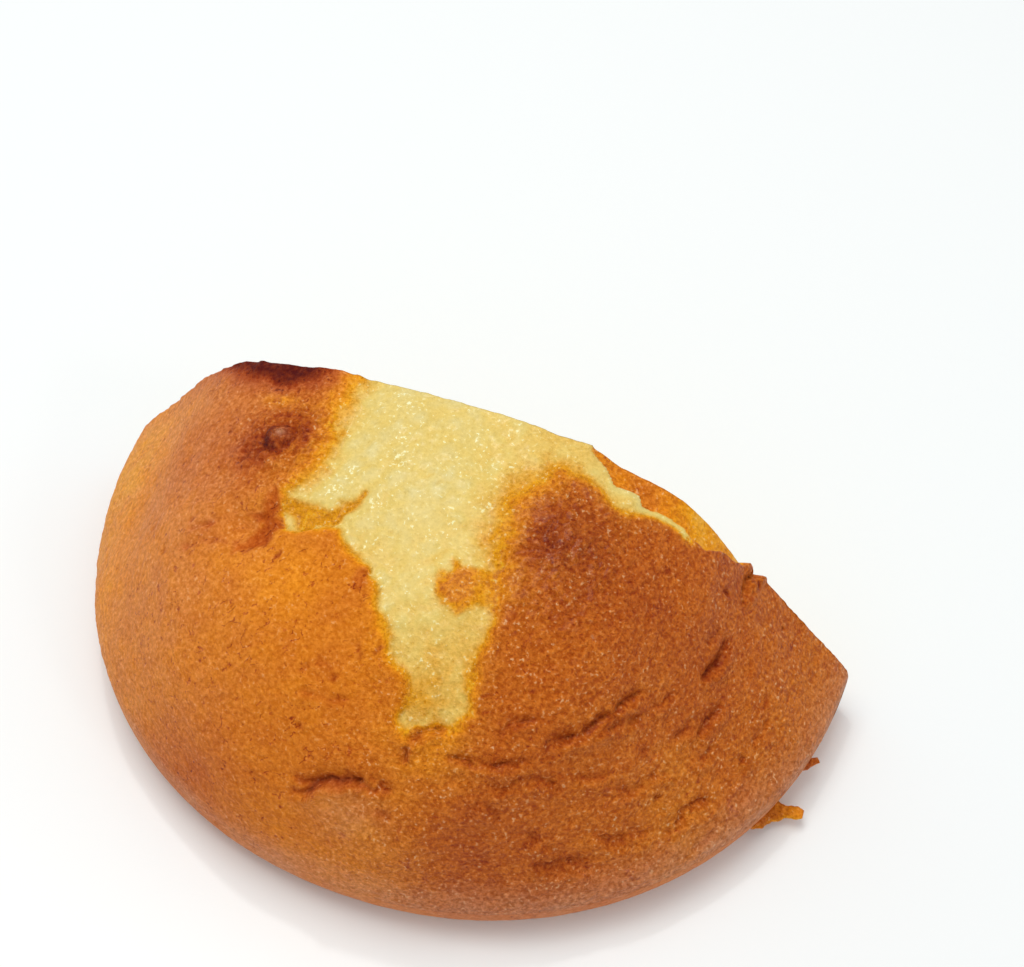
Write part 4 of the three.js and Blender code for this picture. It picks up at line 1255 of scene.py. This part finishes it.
def floor_mesh():
    """A flat square under the bun, its middle on the base."""
    half = FLOOR_SIZE / 2
    corners = [(side_x * half, side_y * half, LOW.z) for side_x, side_y in FLOOR_CORNERS]
    mesh = bpy.data.meshes.new("table")
    mesh.from_pydata(corners, [], [(0, 1, 2, 3)])
    return mesh


def pale_table():
    """Smooth near-white glaze with a weak reflection."""
    material, _, shader = new_material("pale_table")
    shader.inputs["Base Color"].default_value = paint_colour(243, 245, 244)
    shader.inputs["Roughness"].default_value = 0.35
    shader.inputs["Specular IOR Level"].default_value = 0.35
    return material


table = bpy.data.objects.new("table", floor_mesh())
table.data.materials.append(pale_table())
bpy.context.scene.collection.objects.link(table)

LIGHT_TARGET = (0, -15, 15)  # all lights are aimed here, in the middle of the bun
# Name, place from the foot of the cut, size in metres, power in watts and colour
LIGHTS = [
    ("window", (-120, 10, 650), 0.36, 1.68, (255, 254, 251)),
    ("pane", (-130, 190, 620), 0.035, 0.34, (255, 254, 251)),
    ("lamp", (430, -190, 430), 0.08, 0.16, (255, 252, 247)),
]


def soft_light(name, standing, size, power, colour):
    """A square area light at a place, aimed at the bun."""
    light = bpy.data.lights.new(name, "AREA")
    light.shape = "SQUARE"
    light.size = size
    light.energy = power
    light.color = paint_colour(*colour)[:3]
    lamp = bpy.data.objects.new(name, light)
    start, end = (Vector((np.array(point) + CUT_FOOT) * MM) for point in (standing, LIGHT_TARGET))
    lamp.location = start
    lamp.rotation_euler = (end - start).to_track_quat("-Z", "Y").to_euler()
    bpy.context.scene.collection.objects.link(lamp)


for light_values in LIGHTS:
    soft_light(*light_values)

world = bpy.data.worlds.new("room")
world.use_nodes = True
room = world.node_tree.nodes["Background"]
room.inputs["Color"].default_value = paint_colour(246, 249, 252)
room.inputs["Strength"].default_value = 0.7
bpy.context.scene.world = world
bpy.context.scene.view_settings.view_transform = "Standard"

# Where the camera stands, worked out from the outline of the bun as it lies: millimetres and angles
CAMERA_TARGET = np.array([1.35, 7.16, 15])
CAMERA_DISTANCE = 278.2
CAMERA_AZIMUTH = math.radians(18.556)
CAMERA_ELEVATION = math.radians(54.315)
CAMERA_ROLL = math.radians(2.506)
CAMERA_LENS = 75.106
SENSOR_WIDTH = 36


def aimed_camera():
    """A camera at its distance, azimuth and elevation from the target, rolled about its view."""
    flat = math.cos(CAMERA_ELEVATION)
    east, north = math.cos(CAMERA_AZIMUTH), math.sin(CAMERA_AZIMUTH)
    back = Vector((north * flat, -east * flat, math.sin(CAMERA_ELEVATION)))
    right = Vector((east, north, 0))
    up = back.cross(right)
    c, s = math.cos(CAMERA_ROLL), math.sin(CAMERA_ROLL)
    right, up = c * right + s * up, c * up - s * right
    lens = bpy.data.cameras.new("view")
    lens.lens = CAMERA_LENS
    lens.sensor_width = SENSOR_WIDTH
    lens.clip_start, lens.clip_end = 0.01, 10
    camera = bpy.data.objects.new("view", lens)
    camera.matrix_world = Matrix((right, up, back)).transposed().to_4x4()
    camera.location = Vector((CAMERA_TARGET + CUT_FOOT) * MM) + back * CAMERA_DISTANCE * MM
    bpy.context.scene.collection.objects.link(camera)
    return camera


bpy.context.scene.camera = aimed_camera()
